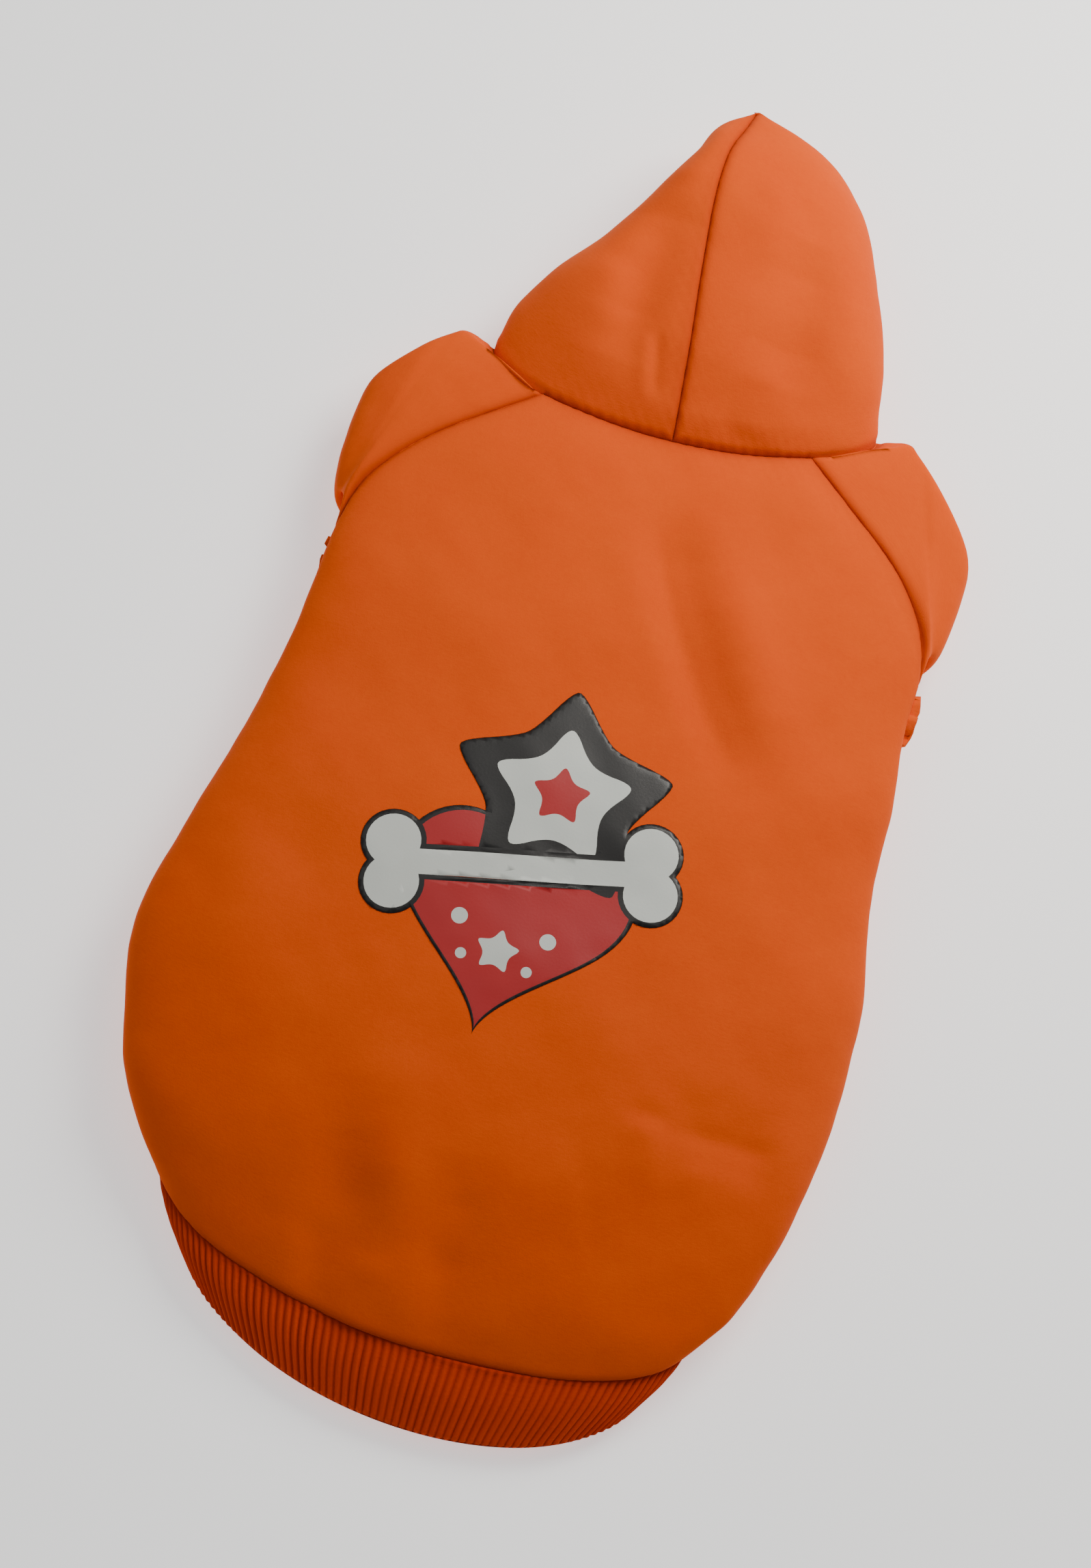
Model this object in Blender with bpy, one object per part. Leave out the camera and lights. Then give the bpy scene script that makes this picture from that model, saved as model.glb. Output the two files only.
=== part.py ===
"""Dog hoodie of brushed fleece, lying flat with its back up and its front on the surface.

The fleece panels meet along their seams: a back panel, a belly panel, two raglan sleeves whose leg tubes
are folded under the chest, and two hood halves with a seam over the crown. A ribbed band closes the hem
and a printed film lies on the back. X runs across the garment, Y from the hem to the hood, Z up, in metres.
"""

import math

import bpy
import numpy as np
from mathutils import Vector
from mathutils.geometry import delaunay_2d_cdt

MM = 0.001

# Driving sizes
BACK_LENGTH = 316 * MM  # edge of the hem rib to the nape
CHEST_HALF_WIDTH = 108 * MM  # middle of the garment to the side fold, at the widest
BODY_HEIGHT = 36 * MM  # surface to the top of the back
HOOD_LENGTH = 128 * MM  # nape to the crown of the hood
HOOD_HEIGHT = 44 * MM  # surface to the top of the hood
FLEECE = 2.0 * MM  # wall of the fleece panels
RIB_WALL = 2.6 * MM  # wall of the folded rib knit, from its crests to the inside
RIB_PITCH = 2.6 * MM  # one rib to the next
RIB_DEPTH = 0.7 * MM  # crest to groove
RIB_STEP = 0.7 * MM  # the rib lies this far inside the fleece at the hem seam
SEAM_GAP = 0.3 * MM  # clearance between two pieces along a seam
PRINT_WIDTH = 97 * MM
PRINT_HEIGHT = 119 * MM
PRINT_FILM = 0.5 * MM  # thickness of the printed film
PRINT_OUTLINE = 1.6 * MM  # width of the line round its motifs

# Sizes that follow from them
SLEEVE_SPAN = 0.97 * CHEST_HALF_WIDTH  # middle of the garment to the outer fold of a sleeve
SLEEVE_STACK = 0.78 * BODY_HEIGHT  # height of a sleeve with its leg tube folded under it
HOOD_HALF_WIDTH = 0.61 * CHEST_HALF_WIDTH  # half the hood's width at the neck

# How finely the surfaces are divided
BACK_COLUMNS = 20
BELLY_COLUMNS = 10
NECK_COLUMNS = 6  # across the end of a sleeve at the neckline
REAR_STEPS = (2, 2, 3, 3, 2, 2, 2)  # rows from one torso section to the next, from the hem to the armpit
RAGLAN_STEPS = (2, 2, 2)  # and from the armpit to the nape
SLEEVE_STEPS = (2, 2, 2, 2, 2, 1)
HOOD_STEPS = (2, 2, 2, 2, 1, 1)

# Sections of the torso from the hem to the neckline. The places along the garment are shares of BACK_LENGTH,
# and skew is how much further along the right side lies than the left. The shift of the middle and the half
# width are shares of CHEST_HALF_WIDTH, the heights are shares of BODY_HEIGHT. A seam is the angle round the
# section, 0 in the middle of the back and 180 in the middle of the belly: where the back panel ends and
# where the belly panel starts.
TORSO_COLUMNS = (
    "back_at", "side_at", "belly_at", "skew", "middle", "half_width",
    "edge_z", "top_z", "under_z", "back_seam", "belly_seam",
)
TORSO_SECTIONS = (
    (0.062, 0.156, 0.300, -0.010, 0.006, 0.775, 0.22, 0.47, 0.02, 128, 128),
    (0.125, 0.196, 0.331, -0.008, 0.008, 0.868, 0.27, 0.65, 0.00, 128, 128),
    (0.219, 0.263, 0.378, -0.004, -0.012, 0.955, 0.32, 0.84, 0.00, 128, 128),
    (0.338, 0.366, 0.444, 0.000, -0.022, 1.016, 0.36, 0.95, 0.00, 128, 128),
    (0.469, 0.484, 0.531, 0.000, 0.004, 0.990, 0.39, 1.00, 0.00, 126, 126),
    (0.600, 0.606, 0.625, 0.000, 0.014, 0.930, 0.41, 0.99, 0.00, 122, 122),
    (0.719, 0.722, 0.731, 0.006, 0.024, 0.900, 0.50, 0.96, 0.38, 110, 110),
    (0.800, 0.815, 0.806, 0.010, 0.026, 0.890, 0.58, 0.92, 0.40, 90, 90),
    (0.872, 0.900, 0.875, 0.012, 0.020, 0.885, 0.56, 0.88, 0.40, 68, 118),
    (0.942, 0.985, 0.944, 0.013, 0.014, 0.835, 0.50, 0.83, 0.30, 50, 138),
    (1.000, 1.080, 1.020, 0.013, 0.012, 0.611, 0.39, 0.77, 0.06, 43, 152),
)

# The hem band beyond the seam, in the same terms
RIB_SECTIONS = (
    (0.028, 0.135, 0.260, -0.011, 0.012, 0.735, 0.16, 0.36, 0.02, 128, 128),
    (-0.008, 0.104, 0.222, -0.012, 0.024, 0.660, 0.10, 0.17, 0.02, 128, 128),
)

# Sections of a sleeve from just outside its raglan seams to its cuff. Across are shares of SLEEVE_SPAN, along
# shares of BACK_LENGTH and heights shares of SLEEVE_STACK. arm is the underarm edge, crown the opposite one,
# and turn is how far the tube has folded under, in degrees.
SLEEVE_COLUMNS = ("arm_x", "arm_y", "arm_z", "crown_x", "crown_y", "crown_z", "thickness", "turn")
SLEEVE_SECTIONS = {
    "sleeve_left": (
        (0.904, 0.846, 0.74, 0.722, 1.060, 0.66, 0.48, 0),
        (0.911, 0.850, 0.68, 0.812, 1.028, 0.76, 0.38, 0),
        (0.915, 0.850, 0.58, 0.902, 0.990, 0.70, 0.32, 45),
        (0.906, 0.844, 0.42, 0.922, 0.978, 0.46, 0.29, 90),
        (0.865, 0.834, 0.25, 0.897, 0.970, 0.25, 0.32, 135),
        (0.780, 0.805, 0.185, 0.830, 0.948, 0.185, 0.35, 180),
        (0.500, 0.740, 0.185, 0.560, 0.905, 0.185, 0.36, 180),
    ),
    "sleeve_right": (
        (0.952, 0.862, 0.74, 0.748, 1.086, 0.66, 0.48, 0),
        (0.957, 0.866, 0.68, 0.842, 1.050, 0.76, 0.38, 0),
        (0.960, 0.866, 0.58, 0.965, 0.992, 0.70, 0.32, 45),
        (0.952, 0.860, 0.42, 0.992, 0.972, 0.46, 0.29, 90),
        (0.922, 0.848, 0.25, 0.967, 0.964, 0.25, 0.32, 135),
        (0.835, 0.814, 0.185, 0.885, 0.940, 0.185, 0.35, 180),
        (0.545, 0.745, 0.185, 0.600, 0.905, 0.185, 0.36, 180),
    ),
}

# Sections of the hood from just above the neckline to the crown. Places along are shares of HOOD_LENGTH from
# the nape, those across are shares of HOOD_HALF_WIDTH: the seam over the head and the left and right edges.
# Heights are shares of HOOD_HEIGHT and rim is half the width of the face opening.
HOOD_COLUMNS = ("top_at", "side_at", "under_at", "seam", "left", "right", "edge_z", "top_z", "under_z", "rim")
HOOD_SECTIONS = (
    (0.08, 0.31, 0.13, 0.00, -0.90, 0.97, 0.36, 0.74, 0.02, 0.34),
    (0.24, 0.41, 0.25, -0.04, -0.79, 0.93, 0.38, 0.88, 0.00, 0.48),
    (0.42, 0.54, 0.42, -0.09, -0.61, 0.85, 0.40, 0.98, 0.00, 0.52),
    (0.61, 0.69, 0.59, -0.13, -0.43, 0.74, 0.42, 1.00, 0.00, 0.42),
    (0.78, 0.82, 0.73, -0.13, -0.29, 0.59, 0.42, 0.94, 0.00, 0.20),
    (0.91, 0.92, 0.85, -0.08, -0.23, 0.38, 0.42, 0.80, 0.05, 0.00),
    (1.00, 1.00, 0.97, -0.05, -0.05, -0.05, 0.42, 0.66, 0.26, 0.00),
)

# Soft folds pressed into the back and the hood. Each runs from one place to another, across as shares of
# CHEST_HALF_WIDTH and along as shares of BACK_LENGTH; width and depth are shares of BODY_HEIGHT, and a
# depth below zero stands up as a ridge.
FOLD_COLUMNS = ("from_x", "from_y", "to_x", "to_y", "width", "depth")
FOLDS = (
    (0.00, 0.93, 0.46, 0.66, 0.26, 0.060),
    (0.16, 0.94, 0.62, 0.66, 0.30, -0.040),
    (-0.32, 0.28, -0.22, 0.05, 0.30, 0.055),
    (-0.16, 0.26, -0.06, 0.06, 0.26, -0.055),
    (0.02, 0.24, 0.10, 0.06, 0.26, 0.045),
    (0.50, 0.33, 0.86, 0.33, 0.26, 0.040),
    (-0.18, 1.28, -0.24, 1.06, 0.34, 0.080),
    (0.24, 1.24, 0.24, 1.08, 0.34, 0.070),
)

CLOSED = ("sleeve_left", "sleeve_right", "hem_rib")  # pieces whose grid closes on itself
ROUND_TOP = 3.0  # power of the curve from the top of the back to the side fold
FLAT_UNDER = 0.86  # share of the half width that lies flat on the surface
HOOD_FLAT_UNDER = 0.5


def smooth(rows, steps):
    """A Catmull-Rom curve through the rows, with that many steps from each row to the next."""
    rows = np.asarray(rows, float)
    ends = np.concatenate([2 * rows[:1] - rows[1:2], rows, 2 * rows[-1:] - rows[-2:-1]])
    made = []
    for i, count in enumerate(steps):
        a, b, c, d = ends[i : i + 4]
        for k in range(count):
            s = k / count
            cubic = (3 * b - a - 3 * c + d) * s**3
            made.append(0.5 * (2 * b + (c - a) * s + (2 * a - 5 * b + 4 * c - d) * s**2 + cubic))
    made.append(rows[-1])
    return np.array(made)


def smooth_sections(table, names, steps, sizes):
    """The table's columns as a dictionary of smooth rows, each times its size."""
    rows = smooth(table, steps)
    return {name: rows[:, k] * sizes.get(name, 1.0) for k, name in enumerate(names)}


TORSO_SIZES = {
    "back_at": BACK_LENGTH,
    "side_at": BACK_LENGTH,
    "belly_at": BACK_LENGTH,
    "skew": BACK_LENGTH,
    "middle": CHEST_HALF_WIDTH,
    "half_width": CHEST_HALF_WIDTH,
    "edge_z": BODY_HEIGHT,
    "top_z": BODY_HEIGHT,
    "under_z": BODY_HEIGHT,
}
HOOD_SIZES = {
    "top_at": HOOD_LENGTH,
    "side_at": HOOD_LENGTH,
    "under_at": HOOD_LENGTH,
    "seam": HOOD_HALF_WIDTH,
    "left": HOOD_HALF_WIDTH,
    "right": HOOD_HALF_WIDTH,
    "rim": HOOD_HALF_WIDTH,
    "edge_z": HOOD_HEIGHT,
    "top_z": HOOD_HEIGHT,
    "under_z": HOOD_HEIGHT,
}


def section_height(side, up, edge, top, low, flat):
    """Height round a section: a domed top, and an underside that lies flat as far as flat."""
    dome = edge + (top - edge) * (1 - side**ROUND_TOP) ** (1 / ROUND_TOP)
    roll = np.clip((side - flat) / (1 - flat), 0, 1)
    under = low + (edge - low) * (1 - np.sqrt(1 - roll**2))
    return np.where(up >= 0, dome, under)


def torso_point(rings, i, degrees):
    """Points of ring i at these angles round it."""
    angle = np.radians(degrees)
    across, up = np.sin(angle), np.cos(angle)
    side = np.abs(across)
    ring = {name: values[i] for name, values in rings.items()}
    end = np.where(up >= 0, ring["back_at"], ring["belly_at"])
    along = ring["side_at"] + (end - ring["side_at"]) * np.abs(up) + ring["skew"] * across
    low = max(ring["under_z"], 0)
    height = section_height(side, up, ring["edge_z"], ring["top_z"], low, FLAT_UNDER)
    return np.stack([ring["middle"] + ring["half_width"] * across, along, height], axis=-1)


def torso_grids():
    """The back and belly panels as grids of points, row by row from the hem, and the neck end of each sleeve."""
    rings = smooth_sections(TORSO_SECTIONS, TORSO_COLUMNS, REAR_STEPS + RAGLAN_STEPS, TORSO_SIZES)
    count = len(rings["half_width"])
    back, belly = [], []
    for i in range(count):
        seam, front = rings["back_seam"][i], rings["belly_seam"][i]
        back.append(torso_point(rings, i, np.linspace(-seam, seam, BACK_COLUMNS + 1)))
        belly.append(torso_point(rings, i, np.linspace(front, 360 - front, BELLY_COLUMNS + 1)))
    back, belly = np.array(back), np.array(belly)
    rear = sum(REAR_STEPS) + 1
    belly[:rear, 0], belly[:rear, -1] = back[:rear, -1], back[:rear, 0]
    angles = np.linspace(rings["back_seam"][-1], rings["belly_seam"][-1], NECK_COLUMNS + 1)[1:-1]
    right = torso_point(rings, count - 1, angles)
    left = torso_point(rings, count - 1, -angles)
    return back, belly, left, right


def sleeve_loop(section, angles, wall=0.0):
    """One flattened loop of a right sleeve, a wall inside its outer face. The crown is at 0 and the underarm at 180."""
    value = dict(zip(SLEEVE_COLUMNS, section))
    size = np.array([SLEEVE_SPAN, BACK_LENGTH, SLEEVE_STACK])
    arm = np.array([value["arm_x"], value["arm_y"], value["arm_z"]]) * size
    crown = np.array([value["crown_x"], value["crown_y"], value["crown_z"]]) * size
    turn = math.radians(value["turn"])
    across = (crown - arm) / 2
    across *= 1 - wall / np.linalg.norm(across)
    outward = np.array([across[1], -across[0], 0])
    outward /= np.linalg.norm(outward)
    thick = math.cos(turn) * np.array([0, 0, 1]) + math.sin(turn) * outward
    along = np.cos(angles)
    rise = np.sign(np.sin(angles)) * (1 - np.abs(along) ** ROUND_TOP) ** (1 / ROUND_TOP)
    half = value["thickness"] * SLEEVE_STACK / 2 - wall
    return (arm + crown) / 2 + np.outer(along, across) + half * np.outer(rise, thick)


def sleeve_grid(sections, ring, wall=0.0):
    """A right sleeve as a grid of closed loops, from the ring of its raglan seams and its neck end to its cuff."""
    raglan = sum(RAGLAN_STEPS) + 1
    crown = math.radians(35)
    angles = np.concatenate(
        [
            np.linspace(math.pi, crown, raglan),
            np.linspace(crown, -crown, NECK_COLUMNS + 1)[1:-1],
            np.linspace(-crown, -math.pi, raglan)[:-1],
        ]
    )
    loops = smooth([sleeve_loop(section, angles, wall) for section in sections], SLEEVE_STEPS)
    return np.concatenate([[ring], loops])


def hood_grid(first, side):
    """A hood half on the right: columns run from the seam over the head down the side to the face opening."""
    rings = smooth_sections(HOOD_SECTIONS, HOOD_COLUMNS, HOOD_STEPS, HOOD_SIZES)
    seam_angle, front_angle = TORSO_SECTIONS[-1][-2:]
    neck = (NECK_COLUMNS // 2, NECK_COLUMNS - NECK_COLUMNS // 2)
    start = np.concatenate(
        [
            np.linspace(0, seam_angle, BACK_COLUMNS // 2 + 1),
            np.linspace(seam_angle, front_angle, NECK_COLUMNS + 1)[1:],
            np.linspace(front_angle, 180, BELLY_COLUMNS // 2 + 1)[1:],
        ]
    )
    even = np.concatenate(
        [np.linspace(0, 90, BACK_COLUMNS // 2 + neck[0] + 1), np.linspace(90, 180, BELLY_COLUMNS // 2 + neck[1] + 1)[1:]]
    )
    rows = [first]
    count = len(rings["seam"])
    for i in range(count):
        ring = {name: values[i] for name, values in rings.items()}
        share = min(1.0, 2 * (i + 1) / count)
        angle = np.radians(start + (even - start) * share)
        across, up = np.sin(angle), np.cos(angle)
        seam, edge = side * ring["seam"], side * ring["right" if side > 0 else "left"]
        middle = side * (ring["left"] + ring["right"]) / 2
        rim = middle + max(ring["rim"], 0)
        x = np.where(up >= 0, seam + (edge - seam) * across, rim + (edge - rim) * across)
        end = np.where(up >= 0, ring["top_at"], ring["under_at"])
        y = BACK_LENGTH + ring["side_at"] + (end - ring["side_at"]) * np.abs(up)
        z = section_height(across, up, ring["edge_z"], ring["top_z"], max(ring["under_z"], 0), HOOD_FLAT_UNDER)
        rows.append(np.stack([x, y, z], axis=-1))
    rows[-1] = np.linspace(rows[-1][0], rows[-1][-1], len(first))
    rows[-1][:, 0] = rows[-1][0, 0]
    return np.array(rows)


def mirrored(grid):
    """The grid's twin on the other side, its columns reversed so that its faces still point out."""
    return grid[..., ::-1, :] * np.array([-1, 1, 1])


def folded(grid):
    """The grid with the folds pressed into its upper side."""
    made = grid.copy()
    place = grid[..., :2] / np.array([CHEST_HALF_WIDTH, BACK_LENGTH])
    top = np.clip((grid[..., 2] / BODY_HEIGHT - 0.5) / 0.3, 0, 1)
    for row in FOLDS:
        fold = dict(zip(FOLD_COLUMNS, row))
        start = np.array([fold["from_x"] * CHEST_HALF_WIDTH, fold["from_y"] * BACK_LENGTH])
        run = np.array([fold["to_x"] * CHEST_HALF_WIDTH, fold["to_y"] * BACK_LENGTH]) - start
        away = place * np.array([CHEST_HALF_WIDTH, BACK_LENGTH]) - start
        length = np.linalg.norm(run)
        share = away @ run / length**2
        across = (away @ np.array([-run[1], run[0]])) / length
        ends = np.clip(np.minimum(share, 1 - share) * 4, 0, 1)
        press = np.exp(-((across / (fold["width"] * BODY_HEIGHT)) ** 2)) * ends
        made[..., 2] -= fold["depth"] * BODY_HEIGHT * press * top
    return made


def grid_faces(grid, closed):
    """Corner indices of the grid's four-sided faces."""
    rows, columns = grid.shape[:2]
    index = np.arange(rows * columns).reshape(rows, columns)
    if closed:
        index = np.concatenate([index, index[:, :1]], axis=1)
    corners = [index[:-1, :-1], index[:-1, 1:], index[1:, 1:], index[1:, :-1]]
    return np.stack([c.ravel() for c in corners], axis=1)


def shared_normals(grids):
    """Outward normals of every named grid, averaged over all the panels that meet at a point."""
    points = np.concatenate([grid.reshape(-1, 3) for grid in grids.values()])
    _, owner = np.unique(np.round(points / (0.01 * MM)).astype(np.int64), axis=0, return_inverse=True)
    owner = owner.reshape(-1)
    total = np.zeros((owner.max() + 1, 3))
    start = 0
    for name, grid in grids.items():
        faces = grid_faces(grid, name in CLOSED)
        if name == "sleeve_right":
            faces = faces[:, ::-1]
        corner = grid.reshape(-1, 3)[faces]
        normal = np.cross(corner[:, 2] - corner[:, 0], corner[:, 3] - corner[:, 1])
        normal /= np.linalg.norm(normal, axis=1, keepdims=True) + 1e-12
        for k in range(4):
            np.add.at(total, owner[start + faces[:, k]], normal)
        start += len(grid.reshape(-1, 3))
    normals = total[owner]
    normals /= np.linalg.norm(normals, axis=1, keepdims=True)
    cuts = np.cumsum([len(grid.reshape(-1, 3)) for grid in grids.values()])[:-1]
    return [part.reshape(grid.shape) for part, grid in zip(np.split(normals, cuts), grids.values())]


def inset(grid, normals, closed):
    """The grid with its edges drawn back along the surface by half the seam gap."""
    made = grid.copy()
    made[0] += inward(grid[0], grid[1], normals[0])
    made[-1] += inward(grid[-1], grid[-2], normals[-1])
    if not closed:
        made[:, 0] += inward(grid[:, 0], grid[:, 1], normals[:, 0])
        made[:, -1] += inward(grid[:, -1], grid[:, -2], normals[:, -1])
    return made


def inward(edge, inner, normals):
    """Half a seam gap from the edge of a panel towards its inside, square to the edge."""
    run = np.gradient(edge, axis=0)
    square = np.cross(run, normals)
    square /= np.linalg.norm(square, axis=1, keepdims=True) + 1e-12
    way = np.sign(np.sum(square * (inner - edge), axis=1, keepdims=True))
    return square * way * SEAM_GAP / 2


def walled(outer, inner, closed):
    """Vertices and faces of the closed wall between an outer and an inner grid.

    The edge faces are split along one rule of place, so that two panels face each other alike along a seam.
    """
    faces = grid_faces(outer, closed)
    count = outer.shape[0] * outer.shape[1]
    index = np.arange(count).reshape(outer.shape[:2])
    borders = [index[0], index[-1, ::-1]]
    if closed:
        borders = [np.append(border, border[0]) for border in borders]
    else:
        borders += [index[::-1, 0], index[:, -1]]
    points = np.concatenate([outer.reshape(-1, 3), inner.reshape(-1, 3)])
    order = points @ np.array([0.31, 1.0, 0.17])
    sides = []
    for border in borders:
        for a, b in zip(border[:-1], border[1:]):
            if order[a] < order[b]:
                sides += [[b, a, a + count], [b, a + count, b + count]]
            else:
                sides += [[b, a, b + count], [a, a + count, b + count]]
    return points, faces.tolist() + (faces[:, ::-1] + count).tolist() + sides


def cloth_object(name, points, faces, colour, roughness):
    mesh = bpy.data.meshes.new(name)
    mesh.from_pydata([tuple(p) for p in points], [], faces)
    mesh.update()
    material = bpy.data.materials.new(name)
    material.use_nodes = True
    shader = material.node_tree.nodes["Principled BSDF"]
    shader.inputs["Base Color"].default_value = (*colour, 1)
    shader.inputs["Roughness"].default_value = roughness
    shader.inputs["Metallic"].default_value = 0
    mesh.materials.append(material)
    made = bpy.data.objects.new(name, mesh)
    bpy.context.scene.collection.objects.link(made)
    mesh.shade_smooth()
    mesh.set_sharp_from_angle(angle=math.radians(50))
    return made


FLEECE_ORANGE = (0.86, 0.17, 0.02)
RIB_ORANGE = (0.62, 0.07, 0.01)
PRINT_BLACK = (0.01, 0.01, 0.01)


def panel(name, grid, normals):
    outer = inset(grid, normals, False)
    points, faces = walled(outer, outer - normals * FLEECE, False)
    return cloth_object(name, points, faces, FLEECE_ORANGE, 0.9)


def sleeve(name, grid, normals):
    outer = inset(grid, normals, True)
    mirror = np.array([-1 if name == "sleeve_left" else 1, 1, 1])
    lining = sleeve_grid(SLEEVE_SECTIONS[name], (outer[0] - normals[0] * FLEECE) * mirror, FLEECE)
    points, faces = walled(outer, lining * mirror, True)
    if name == "sleeve_right":
        faces = [face[::-1] for face in faces]
    return cloth_object(name, points, faces, FLEECE_ORANGE, 0.9)


def hem_rib(back, belly, back_normals, belly_normals):
    """The ribbed band: crests and grooves round the hem, from the hem seam to its edge."""
    ring = np.concatenate([back[0], belly[0][1:]])
    normals = np.concatenate([back_normals[0], belly_normals[0][1:]])
    seam, front = TORSO_SECTIONS[0][-2:]
    ring_angles = np.concatenate(
        [np.linspace(-seam, seam, BACK_COLUMNS + 1), np.linspace(front, 360 - front, BELLY_COLUMNS + 1)[1:]]
    )
    length = np.concatenate([[0], np.cumsum(np.linalg.norm(np.diff(ring, axis=0), axis=1))])
    ribs = round(length[-1] / RIB_PITCH)
    stations = np.arange(2 * ribs) / (2 * ribs) * length[-1]

    def at(values):
        return np.stack([np.interp(stations, length, values[:, k]) for k in range(3)], axis=1)

    angles = np.interp(stations, length, ring_angles)
    rings = smooth_sections(RIB_SECTIONS, TORSO_COLUMNS, (1,), TORSO_SIZES)
    grid = np.array([torso_point(rings, 1, angles), torso_point(rings, 0, angles), at(ring)])
    own = shared_normals({"hem_rib": grid})[0]
    own[-1] = at(normals)
    own[-1] /= np.linalg.norm(own[-1], axis=1, keepdims=True)
    grid[-1] -= own[-1] * RIB_STEP
    outer = inset(grid, own, True)
    outer[-1] += inward(grid[-1], grid[-2], own[-1])
    crest = np.where(np.arange(2 * ribs) % 2 == 0, 0, -RIB_DEPTH)
    points, faces = walled(outer + own * crest[None, :, None], outer - own * RIB_WALL, True)
    return cloth_object("hem_rib", points, faces, RIB_ORANGE, 0.95)


def heart_loop(grow, count=26):
    """A heart, its outline grown outward, in the print's own unit square."""
    t = np.linspace(0, 2 * math.pi, count, endpoint=False)
    x = 16 * np.sin(t) ** 3
    y = 13 * np.cos(t) - 5 * np.cos(2 * t) - 2 * np.cos(3 * t) - np.cos(4 * t)
    return np.stack([x, y + 2.5], axis=1) / 16 * (0.36 * PRINT_WIDTH + grow) + np.array([0, -0.17 * PRINT_HEIGHT])


def star_loop(grow):
    """A five-pointed star, the upper motif of the print."""
    t = math.radians(96) + np.arange(10) * math.pi / 5
    size = np.where(np.arange(10) % 2 == 0, 0.30, 0.17) * PRINT_HEIGHT + grow
    return np.stack([size * np.cos(t), size * np.sin(t)], axis=1) + np.array([0.05 * PRINT_WIDTH, 0.20 * PRINT_HEIGHT])


def bone_loop(grow, arc=7):
    """A bone with two knobs at each end, laid across the print."""
    reach, knob, spread = 0.40 * PRINT_WIDTH, 0.085 * PRINT_WIDTH, 0.065 * PRINT_WIDTH
    radius, bar = knob + grow, 0.04 * PRINT_WIDTH + grow
    inner = math.atan2(bar - spread, -math.sqrt(max(radius**2 - (bar - spread) ** 2, 0)))
    tip = math.atan2(-spread, math.sqrt(max(radius**2 - spread**2, 0)))
    t = np.linspace(inner % (2 * math.pi), tip, arc)
    upper = np.stack([reach + radius * np.cos(t), spread + radius * np.sin(t)], axis=1)
    end = np.concatenate([upper, (upper * np.array([1, -1]))[-2::-1]])
    loop = np.concatenate([end, -end])
    lean = math.radians(14)
    turn = np.array([[math.cos(lean), math.sin(lean)], [-math.sin(lean), math.cos(lean)]])
    return loop @ turn + np.array([0, -0.01 * PRINT_HEIGHT])


def inside(points, loop):
    """Which points lie inside a closed loop."""
    x, y = points[:, :1], points[:, 1:]
    a, b = loop, np.roll(loop, -1, axis=0)
    crosses = (a[:, 1] > y) != (b[:, 1] > y)
    rise = np.where(b[:, 1] == a[:, 1], 1e-12, b[:, 1] - a[:, 1])
    return (np.sum(crosses & (x < a[:, 0] + (y - a[:, 1]) / rise * (b[:, 0] - a[:, 0])), axis=1) % 2) == 1


def back_print(back):
    """The printed film: the motifs' joint outline, laid on the back."""
    loops = [heart_loop(PRINT_OUTLINE), star_loop(PRINT_OUTLINE), bone_loop(PRINT_OUTLINE)]
    columns, rows = np.meshgrid(np.linspace(-0.5, 0.5, 11) * PRINT_WIDTH, np.linspace(-0.5, 0.5, 13) * PRINT_HEIGHT)
    spots = np.stack([columns.ravel(), rows.ravel()], axis=1)
    spots = spots[np.any([inside(spots, loop) for loop in loops], axis=0)]
    corners = np.concatenate(loops + [spots])
    edges, start = [], 0
    for loop in loops:
        count = len(loop)
        edges += [(start + k, start + (k + 1) % count) for k in range(count)]
        start += count
    made = delaunay_2d_cdt([Vector(p) for p in corners], edges, [], 0, 1e-6)
    flat, triangles = np.array([tuple(v) for v in made[0]]), np.array(made[2])
    centres = flat[triangles].mean(axis=1)
    triangles = triangles[np.any([inside(centres, loop) for loop in loops], axis=0)]
    used, triangles = np.unique(triangles, return_inverse=True)
    flat, triangles = flat[used], triangles.reshape(-1, 3)
    place = flat + np.array([-0.045 * CHEST_HALF_WIDTH, 0.515 * BACK_LENGTH])
    low = height_on(back, place) + SEAM_GAP
    bottom = np.column_stack([place, low])
    top = np.column_stack([place, low + PRINT_FILM])
    count = len(flat)
    sides = open_edges(triangles)
    faces = (triangles + count).tolist() + triangles[:, ::-1].tolist()
    faces += [[a, b, b + count, a + count] for a, b in sides]
    return cloth_object("back_print", np.concatenate([bottom, top]), faces, PRINT_BLACK, 0.35)


def open_edges(triangles):
    """Edges that belong to one triangle only, in its own direction."""
    edges = {(a, b) for t in triangles.tolist() for a, b in zip(t, t[1:] + t[:1])}
    return sorted(edge for edge in edges if edge[::-1] not in edges)


def height_on(grid, places):
    """Height of a grid's upper side under each place."""
    top = grid[:, BACK_COLUMNS // 4 : -(BACK_COLUMNS // 4)]
    corners = top.reshape(-1, 3)[grid_faces(top, False)]
    triangles = np.concatenate([corners[:, [0, 1, 2]], corners[:, [0, 2, 3]]])
    a, b, c = triangles[:, 0], triangles[:, 1], triangles[:, 2]
    area = (b[:, 0] - a[:, 0]) * (c[:, 1] - a[:, 1]) - (c[:, 0] - a[:, 0]) * (b[:, 1] - a[:, 1])
    heights = []
    for x, y in places:
        v = ((x - a[:, 0]) * (c[:, 1] - a[:, 1]) - (c[:, 0] - a[:, 0]) * (y - a[:, 1])) / area
        w = ((b[:, 0] - a[:, 0]) * (y - a[:, 1]) - (x - a[:, 0]) * (b[:, 1] - a[:, 1])) / area
        k = np.argmax(np.minimum(np.minimum(v, w), 1 - v - w))
        heights.append(a[k, 2] + v[k] * (b[k, 2] - a[k, 2]) + w[k] * (c[k, 2] - a[k, 2]))
    return np.array(heights)


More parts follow.
